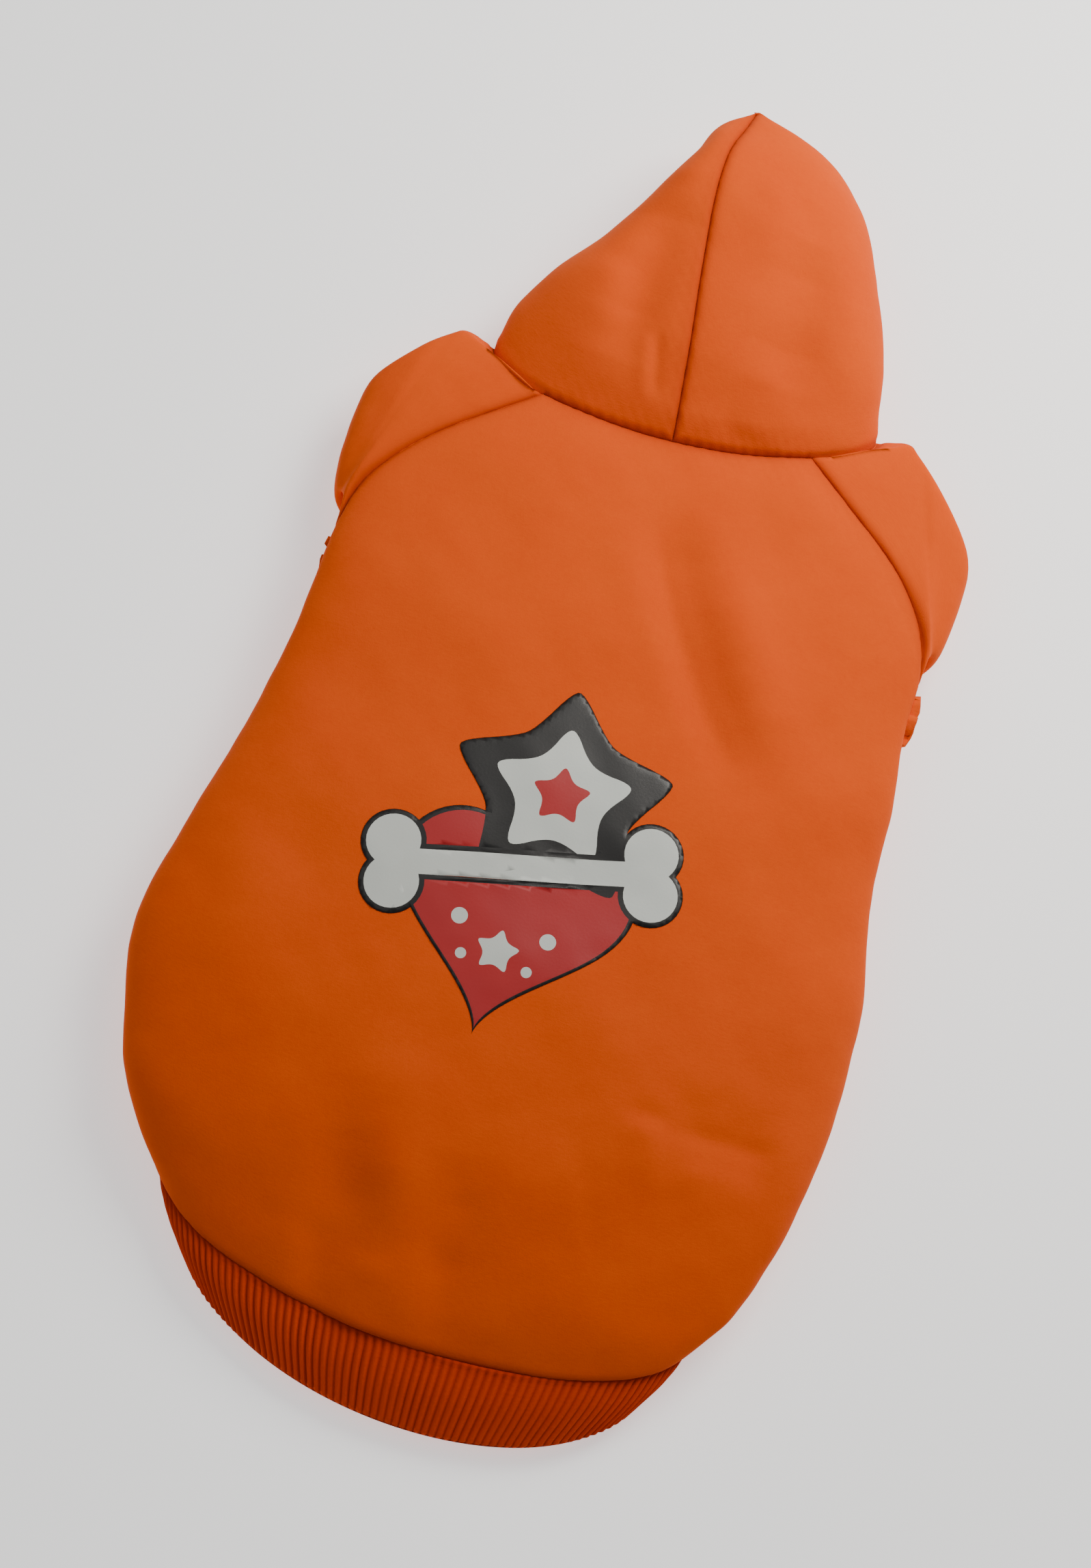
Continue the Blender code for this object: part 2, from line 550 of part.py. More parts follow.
def rest_on_origin(objects):
    """Moves the garment so that the middle of the underside of its box is the origin."""
    points = np.array([v.co for made in objects for v in made.data.vertices])
    low, high = points.min(axis=0), points.max(axis=0)
    for made in objects:
        made.location = (-(low[0] + high[0]) / 2, -(low[1] + high[1]) / 2, -low[2])


def garment_grids():
    """Every fleece panel's outer surface."""
    back, belly, left_neck, right_neck = torso_grids()
    back = folded(back)
    armpit = sum(REAR_STEPS)
    centre, front = BACK_COLUMNS // 2, BELLY_COLUMNS // 2
    over = np.array([-1, 1, 1])
    right = np.concatenate([back[armpit:, -1], right_neck, belly[armpit + 1 :, 0][::-1]])
    left = np.concatenate([back[armpit:, 0], left_neck, belly[armpit + 1 :, -1][::-1]]) * over
    right_ring = np.concatenate([back[-1, centre:], right_neck, belly[-1, : front + 1]])
    left_ring = np.concatenate([back[-1, centre::-1], left_neck, belly[-1, : front - 1 : -1]]) * over
    return {
        "back_panel": back,
        "belly_panel": belly,
        "sleeve_right": sleeve_grid(SLEEVE_SECTIONS["sleeve_right"], right),
        "sleeve_left": sleeve_grid(SLEEVE_SECTIONS["sleeve_left"], left) * over,
        "hood_right": folded(hood_grid(right_ring, 1)),
        "hood_left": folded(mirrored(hood_grid(left_ring, -1))),
    }


def main():
    for old in list(bpy.data.objects):
        bpy.data.objects.remove(old)
    grids = garment_grids()
    normals = dict(zip(grids, shared_normals(grids)))
    made = [(sleeve if name in SLEEVE_SECTIONS else panel)(name, grids[name], normals[name]) for name in grids]
    made.append(hem_rib(grids["back_panel"], grids["belly_panel"], normals["back_panel"], normals["belly_panel"]))
    made.append(back_print(grids["back_panel"]))
    rest_on_origin(made)


main()
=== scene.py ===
import math

import bpy
import numpy as np
from mathutils import Matrix, Vector
from mathutils.bvhtree import BVHTree
from mathutils.geometry import delaunay_2d_cdt


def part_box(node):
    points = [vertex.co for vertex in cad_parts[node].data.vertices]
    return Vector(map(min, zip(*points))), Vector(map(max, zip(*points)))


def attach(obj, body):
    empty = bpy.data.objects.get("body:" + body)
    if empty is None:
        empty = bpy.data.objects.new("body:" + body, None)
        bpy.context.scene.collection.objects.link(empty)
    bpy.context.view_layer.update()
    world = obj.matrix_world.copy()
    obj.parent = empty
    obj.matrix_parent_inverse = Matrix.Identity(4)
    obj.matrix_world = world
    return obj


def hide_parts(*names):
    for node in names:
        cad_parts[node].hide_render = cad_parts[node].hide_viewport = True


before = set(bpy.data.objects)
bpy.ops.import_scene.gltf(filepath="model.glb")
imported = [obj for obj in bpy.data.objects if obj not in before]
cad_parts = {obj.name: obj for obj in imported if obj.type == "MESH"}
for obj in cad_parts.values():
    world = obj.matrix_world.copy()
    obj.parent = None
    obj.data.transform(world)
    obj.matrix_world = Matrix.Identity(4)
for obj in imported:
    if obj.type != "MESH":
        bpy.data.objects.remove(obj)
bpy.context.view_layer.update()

# A dog hoodie of brushed fleece, lying flat with its back up. X runs across the garment, Y from the hem to
# the hood, Z up, in metres. The panels follow the same tables of sections as the solids, more finely, with
# the folds, seams, ribs, print and cloth of the real one.

MM = 0.001

# Driving sizes, as in the solids
BACK_LENGTH = 316 * MM  # edge of the hem rib to the nape
CHEST_HALF_WIDTH = 108 * MM  # middle of the garment to the side fold, at the widest
BODY_HEIGHT = 36 * MM  # surface to the top of the back
HOOD_LENGTH = 128 * MM  # nape to the crown of the hood
HOOD_HEIGHT = 44 * MM  # surface to the top of the hood
FLEECE = 2.0 * MM  # wall of the fleece panels
RIB_WALL = 2.6 * MM  # wall of the folded rib knit, from its crests to the inside
RIB_PITCH = 2.6 * MM  # one rib to the next
RIB_DEPTH = 0.7 * MM  # crest to groove
RIB_STEP = 0.9 * MM  # the rib lies this far inside the fleece at the hem seam
PRINT_WIDTH = 97 * MM
PRINT_HEIGHT = 119 * MM
PRINT_FILM = 0.35 * MM  # thickness of the printed film
PRINT_OUTLINE = 1.6 * MM  # width of the line round its motifs
PRINT_LIFT = 0.03 * MM  # the film lies this far over the cloth
SLEEVE_SPAN = 0.97 * CHEST_HALF_WIDTH  # middle of the garment to the outer fold of a sleeve
SLEEVE_STACK = 0.78 * BODY_HEIGHT  # height of a sleeve with its leg tube folded under it
HOOD_HALF_WIDTH = 0.61 * CHEST_HALF_WIDTH  # half the hood's width at the neck

# How finely the surfaces are divided
BACK_COLUMNS = 150
BELLY_COLUMNS = 76
NECK_COLUMNS = 36  # across the end of a sleeve at the neckline
# Rows from one torso section to the next, from the hem to the armpit and from there to the nape
REAR_STEPS = (14, 20, 26, 28, 28, 26, 18)
RAGLAN_STEPS = (16, 16, 14)
SLEEVE_STEPS = (6, 6, 6, 6, 6, 16)
HOOD_STEPS = (16, 18, 18, 16, 14, 12)
RAGLAN_STRIP = 24  # rows from the raglan seams to a sleeve's first section
NECK_STRIP = 16  # rows from the neckline to the hood's first section
RIB_ROWS = (10, 14)
RIB_POINTS = 8  # points across one rib

# Sections of the torso from the hem to the neckline. The places along the garment are shares of BACK_LENGTH,
# and skew is how much further along the right side lies than the left. The shift of the middle and the half
# width are shares of CHEST_HALF_WIDTH, the heights are shares of BODY_HEIGHT. A seam is the angle round the
# section, 0 in the middle of the back and 180 in the middle of the belly: where the back panel ends and
# where the belly panel starts.
TORSO_COLUMNS = (
    "back_at", "side_at", "belly_at", "skew", "middle", "half_width",
    "edge_z", "top_z", "under_z", "back_seam", "belly_seam",
)
TORSO_SECTIONS = (
    (0.062, 0.156, 0.300, -0.010, 0.006, 0.775, 0.22, 0.47, 0.02, 128, 128),
    (0.125, 0.196, 0.331, -0.008, 0.008, 0.868, 0.27, 0.65, 0.00, 128, 128),
    (0.219, 0.263, 0.378, -0.004, -0.012, 0.955, 0.32, 0.84, 0.00, 128, 128),
    (0.338, 0.366, 0.444, 0.000, -0.022, 1.016, 0.36, 0.95, 0.00, 128, 128),
    (0.469, 0.484, 0.531, 0.000, 0.004, 0.990, 0.39, 1.00, 0.00, 126, 126),
    (0.600, 0.606, 0.625, 0.000, 0.014, 0.930, 0.41, 0.99, 0.00, 122, 122),
    (0.719, 0.722, 0.731, 0.006, 0.024, 0.900, 0.50, 0.96, 0.38, 110, 110),
    (0.800, 0.815, 0.806, 0.010, 0.026, 0.890, 0.58, 0.92, 0.40, 90, 90),
    (0.872, 0.900, 0.875, 0.012, 0.020, 0.885, 0.56, 0.88, 0.40, 68, 118),
    (0.942, 0.985, 0.944, 0.013, 0.014, 0.835, 0.50, 0.83, 0.30, 50, 138),
    (1.000, 1.080, 1.020, 0.013, 0.012, 0.611, 0.39, 0.77, 0.06, 43, 152),
)

# The hem band beyond the seam, in the same terms
RIB_SECTIONS = (
    (0.028, 0.135, 0.260, -0.011, 0.012, 0.735, 0.16, 0.36, 0.02, 128, 128),
    (-0.008, 0.104, 0.222, -0.012, 0.024, 0.660, 0.10, 0.17, 0.02, 128, 128),
)

# Sections of a sleeve from just outside its raglan seams to its cuff. The columns in x are shares of
# SLEEVE_SPAN, those in y of BACK_LENGTH and the heights of SLEEVE_STACK. arm is the underarm edge, crown the
# opposite one, and turn is how far the tube has folded under, in degrees.
SLEEVE_COLUMNS = ("arm_x", "arm_y", "arm_z", "crown_x", "crown_y", "crown_z", "thickness", "turn")
SLEEVE_SECTIONS = {
    "sleeve_left": (
        (0.904, 0.846, 0.74, 0.722, 1.060, 0.66, 0.48, 0),
        (0.911, 0.850, 0.68, 0.812, 1.028, 0.76, 0.38, 0),
        (0.915, 0.850, 0.58, 0.902, 0.990, 0.70, 0.32, 45),
        (0.906, 0.844, 0.42, 0.922, 0.978, 0.46, 0.29, 90),
        (0.865, 0.834, 0.25, 0.897, 0.970, 0.25, 0.32, 135),
        (0.780, 0.805, 0.185, 0.830, 0.948, 0.185, 0.35, 180),
        (0.500, 0.740, 0.185, 0.560, 0.905, 0.185, 0.36, 180),
    ),
    "sleeve_right": (
        (0.952, 0.862, 0.74, 0.748, 1.086, 0.66, 0.48, 0),
        (0.957, 0.866, 0.68, 0.842, 1.050, 0.76, 0.38, 0),
        (0.960, 0.866, 0.58, 0.965, 0.992, 0.70, 0.32, 45),
        (0.952, 0.860, 0.42, 0.992, 0.972, 0.46, 0.29, 90),
        (0.922, 0.848, 0.25, 0.967, 0.964, 0.25, 0.32, 135),
        (0.835, 0.814, 0.185, 0.885, 0.940, 0.185, 0.35, 180),
        (0.545, 0.745, 0.185, 0.600, 0.905, 0.185, 0.36, 180),
    ),
}

# Sections of the hood from just above the neckline to the crown. Places along are shares of HOOD_LENGTH from
# the nape, those across are shares of HOOD_HALF_WIDTH: the seam over the head and the left and right edges.
# Heights are shares of HOOD_HEIGHT and rim is half the width of the face opening.
HOOD_COLUMNS = (
    "top_at", "side_at", "under_at", "seam", "left", "right",
    "edge_z", "top_z", "under_z", "rim",
)
HOOD_SECTIONS = (
    (0.08, 0.31, 0.13, 0.00, -0.90, 0.97, 0.36, 0.74, 0.02, 0.34),
    (0.24, 0.41, 0.25, -0.04, -0.79, 0.93, 0.38, 0.88, 0.00, 0.48),
    (0.42, 0.54, 0.42, -0.09, -0.61, 0.85, 0.40, 0.98, 0.00, 0.52),
    (0.61, 0.69, 0.59, -0.13, -0.43, 0.74, 0.42, 1.00, 0.00, 0.42),
    (0.78, 0.82, 0.73, -0.13, -0.29, 0.59, 0.42, 0.94, 0.00, 0.20),
    (0.91, 0.92, 0.85, -0.08, -0.23, 0.38, 0.42, 0.80, 0.05, 0.00),
    (1.00, 1.00, 0.97, -0.05, -0.05, -0.05, 0.42, 0.66, 0.26, 0.00),
)

# Soft folds pressed into the back and the hood. Each runs from one place to another, across as shares of
# CHEST_HALF_WIDTH and along as shares of BACK_LENGTH; width and depth are shares of BODY_HEIGHT, and a
# depth below zero stands up as a ridge.
FOLD_COLUMNS = ("from_x", "from_y", "to_x", "to_y", "width", "depth")
FOLDS = (
    (0.00, 0.93, 0.46, 0.66, 0.26, 0.060),
    (0.16, 0.94, 0.62, 0.66, 0.30, -0.040),
    (-0.32, 0.28, -0.22, 0.05, 0.30, 0.055),
    (-0.16, 0.26, -0.06, 0.06, 0.26, -0.055),
    (0.02, 0.24, 0.10, 0.06, 0.26, 0.045),
    (0.50, 0.33, 0.86, 0.33, 0.26, 0.040),
    (-0.18, 1.28, -0.24, 1.06, 0.34, 0.080),
    (0.24, 1.24, 0.24, 1.08, 0.34, 0.070),
)

CLOSED = ("sleeve_left", "sleeve_right", "hem_rib")  # pieces whose grid closes on itself
ROUND_TOP = 3.0  # power of the curve from the top of the back to the side fold
FLAT_UNDER = 0.86  # share of the half width that lies flat on the surface
HOOD_FLAT_UNDER = 0.5
SLEEVE_CROWN = math.radians(35)  # half of the neck end, as an angle round a sleeve
TINY = 1e-12  # keeps a division by a length of nothing harmless


def smooth(rows, steps):
    """A Catmull-Rom curve through the rows, with that many steps from each row to the next."""
    rows = np.asarray(rows, float)
    ends = np.concatenate([2 * rows[:1] - rows[1:2], rows, 2 * rows[-1:] - rows[-2:-1]])
    made = []
    for i, count in enumerate(steps):
        a, b, c, d = ends[i : i + 4]
        for k in range(count):
            s = k / count
            cubic = (3 * b - a - 3 * c + d) * s**3
            made.append(0.5 * (2 * b + (c - a) * s + (2 * a - 5 * b + 4 * c - d) * s**2 + cubic))
    made.append(rows[-1])
    return np.array(made)


def smooth_sections(table, names, steps, sizes):
    """The table's columns as a dictionary of smooth rows, each times its size."""
    rows = smooth(table, steps)
    return {name: rows[:, k] * sizes.get(name, 1.0) for k, name in enumerate(names)}


TORSO_SIZES = {
    "back_at": BACK_LENGTH,
    "side_at": BACK_LENGTH,
    "belly_at": BACK_LENGTH,
    "skew": BACK_LENGTH,
    "middle": CHEST_HALF_WIDTH,
    "half_width": CHEST_HALF_WIDTH,
    "edge_z": BODY_HEIGHT,
    "top_z": BODY_HEIGHT,
    "under_z": BODY_HEIGHT,
}
HOOD_SIZES = {
    "top_at": HOOD_LENGTH,
    "side_at": HOOD_LENGTH,
    "under_at": HOOD_LENGTH,
    "seam": HOOD_HALF_WIDTH,
    "left": HOOD_HALF_WIDTH,
    "right": HOOD_HALF_WIDTH,
    "rim": HOOD_HALF_WIDTH,
    "edge_z": HOOD_HEIGHT,
    "top_z": HOOD_HEIGHT,
    "under_z": HOOD_HEIGHT,
}


def section_height(side, up, edge, top, low, flat):
    """Height round a section: a domed top, and an underside that lies flat as far as flat."""
    dome = edge + (top - edge) * (1 - side**ROUND_TOP) ** (1 / ROUND_TOP)
    roll = np.clip((side - flat) / (1 - flat), 0, 1)
    under = low + (edge - low) * (1 - np.sqrt(1 - roll**2))
    return np.where(up >= 0, dome, under)


def torso_point(rings, i, degrees):
    """Points of ring i at these angles round it."""
    angle = np.radians(degrees)
    across, up = np.sin(angle), np.cos(angle)
    side = np.abs(across)
    ring = {name: values[i] for name, values in rings.items()}
    end = np.where(up >= 0, ring["back_at"], ring["belly_at"])
    along = ring["side_at"] + (end - ring["side_at"]) * np.abs(up) + ring["skew"] * across
    low = max(ring["under_z"], 0)
    height = section_height(side, up, ring["edge_z"], ring["top_z"], low, FLAT_UNDER)
    return np.stack([ring["middle"] + ring["half_width"] * across, along, height], axis=-1)


def torso_grids():
    """The back and belly panels as grids, row by row from the hem, and the neck end of each sleeve."""
    rings = smooth_sections(TORSO_SECTIONS, TORSO_COLUMNS, REAR_STEPS + RAGLAN_STEPS, TORSO_SIZES)
    count = len(rings["half_width"])
    back, belly = [], []
    for i in range(count):
        seam, front = rings["back_seam"][i], rings["belly_seam"][i]
        back.append(torso_point(rings, i, np.linspace(-seam, seam, BACK_COLUMNS + 1)))
        belly.append(torso_point(rings, i, np.linspace(front, 360 - front, BELLY_COLUMNS + 1)))
    back, belly = np.array(back), np.array(belly)
    rear = sum(REAR_STEPS) + 1
    belly[:rear, 0], belly[:rear, -1] = back[:rear, -1], back[:rear, 0]
    angles = np.linspace(rings["back_seam"][-1], rings["belly_seam"][-1], NECK_COLUMNS + 1)[1:-1]
    right = torso_point(rings, count - 1, angles)
    left = torso_point(rings, count - 1, -angles)
    return back, belly, left, right


def sleeve_loop(section, angles, wall=0.0):
    """One flattened loop of a right sleeve, a wall inside its outer face, from the crown at angle 0."""
    value = dict(zip(SLEEVE_COLUMNS, section))
    size = np.array([SLEEVE_SPAN, BACK_LENGTH, SLEEVE_STACK])
    arm = np.array([value["arm_x"], value["arm_y"], value["arm_z"]]) * size
    crown = np.array([value["crown_x"], value["crown_y"], value["crown_z"]]) * size
    turn = math.radians(value["turn"])
    across = (crown - arm) / 2
    across *= 1 - wall / np.linalg.norm(across)
    outward = np.array([across[1], -across[0], 0])
    outward /= np.linalg.norm(outward)
    thick = math.cos(turn) * np.array([0, 0, 1]) + math.sin(turn) * outward
    along = np.cos(angles)
    rise = np.sign(np.sin(angles)) * (1 - np.abs(along) ** ROUND_TOP) ** (1 / ROUND_TOP)
    half = value["thickness"] * SLEEVE_STACK / 2 - wall
    return (arm + crown) / 2 + np.outer(along, across) + half * np.outer(rise, thick)


def sleeve_grid(sections, ring, wall=0.0):
    """A right sleeve as a grid of closed loops, from the ring of its seams to its cuff."""
    raglan = sum(RAGLAN_STEPS) + 1
    crown = SLEEVE_CROWN
    angles = np.concatenate(
        [
            np.linspace(math.pi, crown, raglan),
            np.linspace(crown, -crown, NECK_COLUMNS + 1)[1:-1],
            np.linspace(-crown, -math.pi, raglan)[:-1],
        ]
    )
    loops = smooth([sleeve_loop(section, angles, wall) for section in sections], SLEEVE_STEPS)
    return np.concatenate([strip(ring, loops[0], loops[1], RAGLAN_STRIP), loops])


def hood_grid(first, side):
    """A hood half on the right: its columns run from the seam over the head to the face opening."""
    rings = smooth_sections(HOOD_SECTIONS, HOOD_COLUMNS, HOOD_STEPS, HOOD_SIZES)
    seam_angle, front_angle = TORSO_SECTIONS[-1][-2:]
    neck = (NECK_COLUMNS // 2, NECK_COLUMNS - NECK_COLUMNS // 2)
    start = np.concatenate(
        [
            np.linspace(0, seam_angle, BACK_COLUMNS // 2 + 1),
            np.linspace(seam_angle, front_angle, NECK_COLUMNS + 1)[1:],
            np.linspace(front_angle, 180, BELLY_COLUMNS // 2 + 1)[1:],
        ]
    )
    even = np.concatenate(
        [
            np.linspace(0, 90, BACK_COLUMNS // 2 + neck[0] + 1),
            np.linspace(90, 180, BELLY_COLUMNS // 2 + neck[1] + 1)[1:],
        ]
    )
    rows = []
    count = len(rings["seam"])
    for i in range(count):
        ring = {name: values[i] for name, values in rings.items()}
        share = min(1.0, 2 * (i + 1) / count)
        angle = np.radians(start + (even - start) * share)
        across, up = np.sin(angle), np.cos(angle)
        seam, edge = side * ring["seam"], side * ring["right" if side > 0 else "left"]
        middle = side * (ring["left"] + ring["right"]) / 2
        rim = middle + max(ring["rim"], 0)
        x = np.where(up >= 0, seam + (edge - seam) * across, rim + (edge - rim) * across)
        end = np.where(up >= 0, ring["top_at"], ring["under_at"])
        y = BACK_LENGTH + ring["side_at"] + (end - ring["side_at"]) * np.abs(up)
        low = max(ring["under_z"], 0)
        z = section_height(across, up, ring["edge_z"], ring["top_z"], low, HOOD_FLAT_UNDER)
        rows.append(np.stack([x, y, z], axis=-1))
    rows[-1] = np.linspace(rows[-1][0], rows[-1][-1], len(first))
    rows[-1][:, 0] = rows[-1][0, 0]
    return np.concatenate([strip(first, rows[0], rows[1], NECK_STRIP), rows])


def mirrored(grid):
    """The grid's twin on the other side, its columns reversed so that its faces still point out."""
    return grid[..., ::-1, :] * np.array([-1, 1, 1])


def folded(grid):
    """The grid with the folds pressed into its upper side."""
    made = grid.copy()
    place = grid[..., :2] / np.array([CHEST_HALF_WIDTH, BACK_LENGTH])
    top = np.clip((grid[..., 2] / BODY_HEIGHT - 0.5) / 0.3, 0, 1)
    for row in FOLDS:
        fold = dict(zip(FOLD_COLUMNS, row))
        start = np.array([fold["from_x"] * CHEST_HALF_WIDTH, fold["from_y"] * BACK_LENGTH])
        run = np.array([fold["to_x"] * CHEST_HALF_WIDTH, fold["to_y"] * BACK_LENGTH]) - start
        away = place * np.array([CHEST_HALF_WIDTH, BACK_LENGTH]) - start
        length = np.linalg.norm(run)
        share = away @ run / length**2
        across = (away @ np.array([-run[1], run[0]])) / length
        ends = np.clip(np.minimum(share, 1 - share) * 4, 0, 1)
        press = np.exp(-((across / (fold["width"] * BODY_HEIGHT)) ** 2)) * ends
        made[..., 2] -= fold["depth"] * BODY_HEIGHT * press * top
    return made


def grid_faces(grid, closed):
    """Corner indices of the grid's four-sided faces."""
    rows, columns = grid.shape[:2]
    index = np.arange(rows * columns).reshape(rows, columns)
    if closed:
        index = np.concatenate([index, index[:, :1]], axis=1)
    corners = [index[:-1, :-1], index[:-1, 1:], index[1:, 1:], index[1:, :-1]]
    return np.stack([c.ravel() for c in corners], axis=1)


def shared_normals(grids):
    """Outward normals of every named grid, averaged over all the panels that meet at a point."""
    points = np.concatenate([grid.reshape(-1, 3) for grid in grids.values()])
    _, owner = np.unique(np.round(points / (0.01 * MM)).astype(np.int64), axis=0, return_inverse=True)
    owner = owner.reshape(-1)
    total = np.zeros((owner.max() + 1, 3))
    start = 0
    for name, grid in grids.items():
        faces = grid_faces(grid, name in CLOSED)
        if name == "sleeve_right":
            faces = faces[:, ::-1]
        corner = grid.reshape(-1, 3)[faces]
        normal = np.cross(corner[:, 2] - corner[:, 0], corner[:, 3] - corner[:, 1])
        normal /= np.linalg.norm(normal, axis=1, keepdims=True) + TINY
        for k in range(4):
            np.add.at(total, owner[start + faces[:, k]], normal)
        start += len(grid.reshape(-1, 3))
    normals = total[owner]
    normals /= np.linalg.norm(normals, axis=1, keepdims=True)
    cuts = np.cumsum([len(grid.reshape(-1, 3)) for grid in grids.values()])[:-1]
    return [part.reshape(grid.shape) for part, grid in zip(np.split(normals, cuts), grids.values())]


def walled(outer, inner, closed):
    """Vertices and faces of the closed wall between an outer and an inner grid."""
    faces = grid_faces(outer, closed)
    count = outer.shape[0] * outer.shape[1]
    index = np.arange(count).reshape(outer.shape[:2])
    borders = [index[0], index[-1, ::-1]]
    if closed:
        borders = [np.append(border, border[0]) for border in borders]
    else:
        borders += [index[::-1, 0], index[:, -1]]
    points = np.concatenate([outer.reshape(-1, 3), inner.reshape(-1, 3)])
    sides = [[b, a, a + count, b + count] for border in borders for a, b in zip(border[:-1], border[1:])]
    return points, faces.tolist() + (faces[:, ::-1] + count).tolist() + sides


# The motifs of the print, as shares of PRINT_WIDTH. The radii of the star and each Y are shares of
# PRINT_HEIGHT.
HEART_HALF = 0.36  # half its width
HEART_Y = -0.17
STAR_RADII = (0.30, 0.17)  # to its points and to the corners between them
STAR_X = 0.05
STAR_Y = 0.20
STAR_TURN = 96  # degrees
BONE_SHARES = (0.40, 0.085, 0.065, 0.04)  # middle to knobs, a knob's radius, half their spread, half the bar
BONE_Y = -0.01
BONE_LEAN = 14  # degrees
LOOP_POINTS = 110  # round the heart
KNOB_POINTS = 22  # round a knob of the bone
PRINT_X = -0.045  # middle of the print, as a share of CHEST_HALF_WIDTH
PRINT_Y = 0.515  # the same along the back, as a share of BACK_LENGTH


def heart_loop(grow, count):
    """A heart, its outline grown outward, in the print's own unit square."""
    t = np.linspace(0, 2 * math.pi, count, endpoint=False)
    x = 16 * np.sin(t) ** 3
    y = 13 * np.cos(t) - 5 * np.cos(2 * t) - 2 * np.cos(3 * t) - np.cos(4 * t)
    heart = np.stack([x, y + 2.5], axis=1) / 16 * (HEART_HALF * PRINT_WIDTH + grow)
    return heart + np.array([0, HEART_Y * PRINT_HEIGHT])


def star_loop(grow):
    """A five-pointed star, the upper motif of the print."""
    t = math.radians(STAR_TURN) + np.arange(10) * math.pi / 5
    size = np.where(np.arange(10) % 2 == 0, *STAR_RADII) * PRINT_HEIGHT + grow
    place = np.array([STAR_X * PRINT_WIDTH, STAR_Y * PRINT_HEIGHT])
    return np.stack([size * np.cos(t), size * np.sin(t)], axis=1) + place


def bone_loop(grow, arc):
    """A bone with two knobs at each end, laid across the print."""
    reach, knob, spread, half = (share * PRINT_WIDTH for share in BONE_SHARES)
    radius, bar = knob + grow, half + grow
    inner = math.atan2(bar - spread, -math.sqrt(max(radius**2 - (bar - spread) ** 2, 0)))
    tip = math.atan2(-spread, math.sqrt(max(radius**2 - spread**2, 0)))
    t = np.linspace(inner % (2 * math.pi), tip, arc)
    upper = np.stack([reach + radius * np.cos(t), spread + radius * np.sin(t)], axis=1)
    end = np.concatenate([upper, (upper * np.array([1, -1]))[-2::-1]])
    loop = np.concatenate([end, -end])
    lean = math.radians(BONE_LEAN)
    turn = np.array([[math.cos(lean), math.sin(lean)], [-math.sin(lean), math.cos(lean)]])
    return loop @ turn + np.array([0, BONE_Y * PRINT_HEIGHT])


def inside(points, loop):
    """Which points lie inside a closed loop."""
    x, y = points[:, :1], points[:, 1:]
    a, b = loop, np.roll(loop, -1, axis=0)
    crosses = (a[:, 1] > y) != (b[:, 1] > y)
    rise = np.where(b[:, 1] == a[:, 1], TINY, b[:, 1] - a[:, 1])
    return (np.sum(crosses & (x < a[:, 0] + (y - a[:, 1]) / rise * (b[:, 0] - a[:, 0])), axis=1) % 2) == 1


def open_edges(triangles):
    """Edges that belong to one triangle only, in its own direction."""
    edges = {(a, b) for t in triangles.tolist() for a, b in zip(t, t[1:] + t[:1])}
    return sorted(edge for edge in edges if edge[::-1] not in edges)


def garment_grids():
    """Every fleece panel's outer surface."""
    back, belly, left_neck, right_neck = torso_grids()
    back = folded(back)
    armpit = sum(REAR_STEPS)
    centre, front = BACK_COLUMNS // 2, BELLY_COLUMNS // 2
    over = np.array([-1, 1, 1])
    right = np.concatenate([back[armpit:, -1], right_neck, belly[armpit + 1 :, 0][::-1]])
    left = np.concatenate([back[armpit:, 0], left_neck, belly[armpit + 1 :, -1][::-1]]) * over
    right_ring = np.concatenate([back[-1, centre:], right_neck, belly[-1, : front + 1]])
    left_ring = np.concatenate([back[-1, centre::-1], left_neck, belly[-1, : front - 1 : -1]]) * over
    return {
        "back_panel": back,
        "belly_panel": belly,
        "sleeve_right": sleeve_grid(SLEEVE_SECTIONS["sleeve_right"], right),
        "sleeve_left": sleeve_grid(SLEEVE_SECTIONS["sleeve_left"], left) * over,
        "hood_right": folded(hood_grid(right_ring, 1)),
        "hood_left": folded(mirrored(hood_grid(left_ring, -1))),
    }


# Soft creases and ridges, as runs of places in millimetres from the middle of the garment. Width and depth
# are in millimetres, a depth below zero stands up as a ridge, and lip is the height of the ridge on the
# right of the run as one walks along it.
CREASE_COLUMNS = ("run", "width", "depth", "lip")
CREASES = (
    (((5, 68), (14, 46), (26, 24), (41, 2), (56, -15)), 2.6, 0.9, -0.7),
    (((30, 60), (40, 34), (54, 10), (66, -4)), 11, -0.9, 0.0),
    (((-32, -172), (-25, -193), (-20, -206)), 5.0, 0.9, 0.6),
    (((-12, -178), (-13, -205)), 6.0, -0.9, 0.0),
    (((6, -170), (14, -200)), 4.5, 0.6, 0.4),
    (((36, -132), (52, -170)), 1.6, 0.35, 0.3),
    (((60, -121), (96, -119)), 3.2, 0.7, -0.6),
    (((44, -118), (60, -121), (64, -140)), 3.0, 0.5, 0.4),
    (((-18, 176), (-20, 142), (-20, 108)), 9.0, 1.5, 0.0),
    (((-34, 150), (-26, 120)), 7.0, -0.9, 0.0),
    (((-12, 128), (-6, 104)), 2.4, 0.6, 0.5),
    (((26, 190), (34, 150), (36, 112)), 8.0, 1.1, 0.0),
    (((12, 196), (16, 150)), 8.0, -0.7, 0.0),
    (((14, 104), (40, 98)), 4.0, 0.6, -0.5),
    (((-84, -60), (-78, -100), (-64, -140)), 12.0, -0.8, 0.0),
)

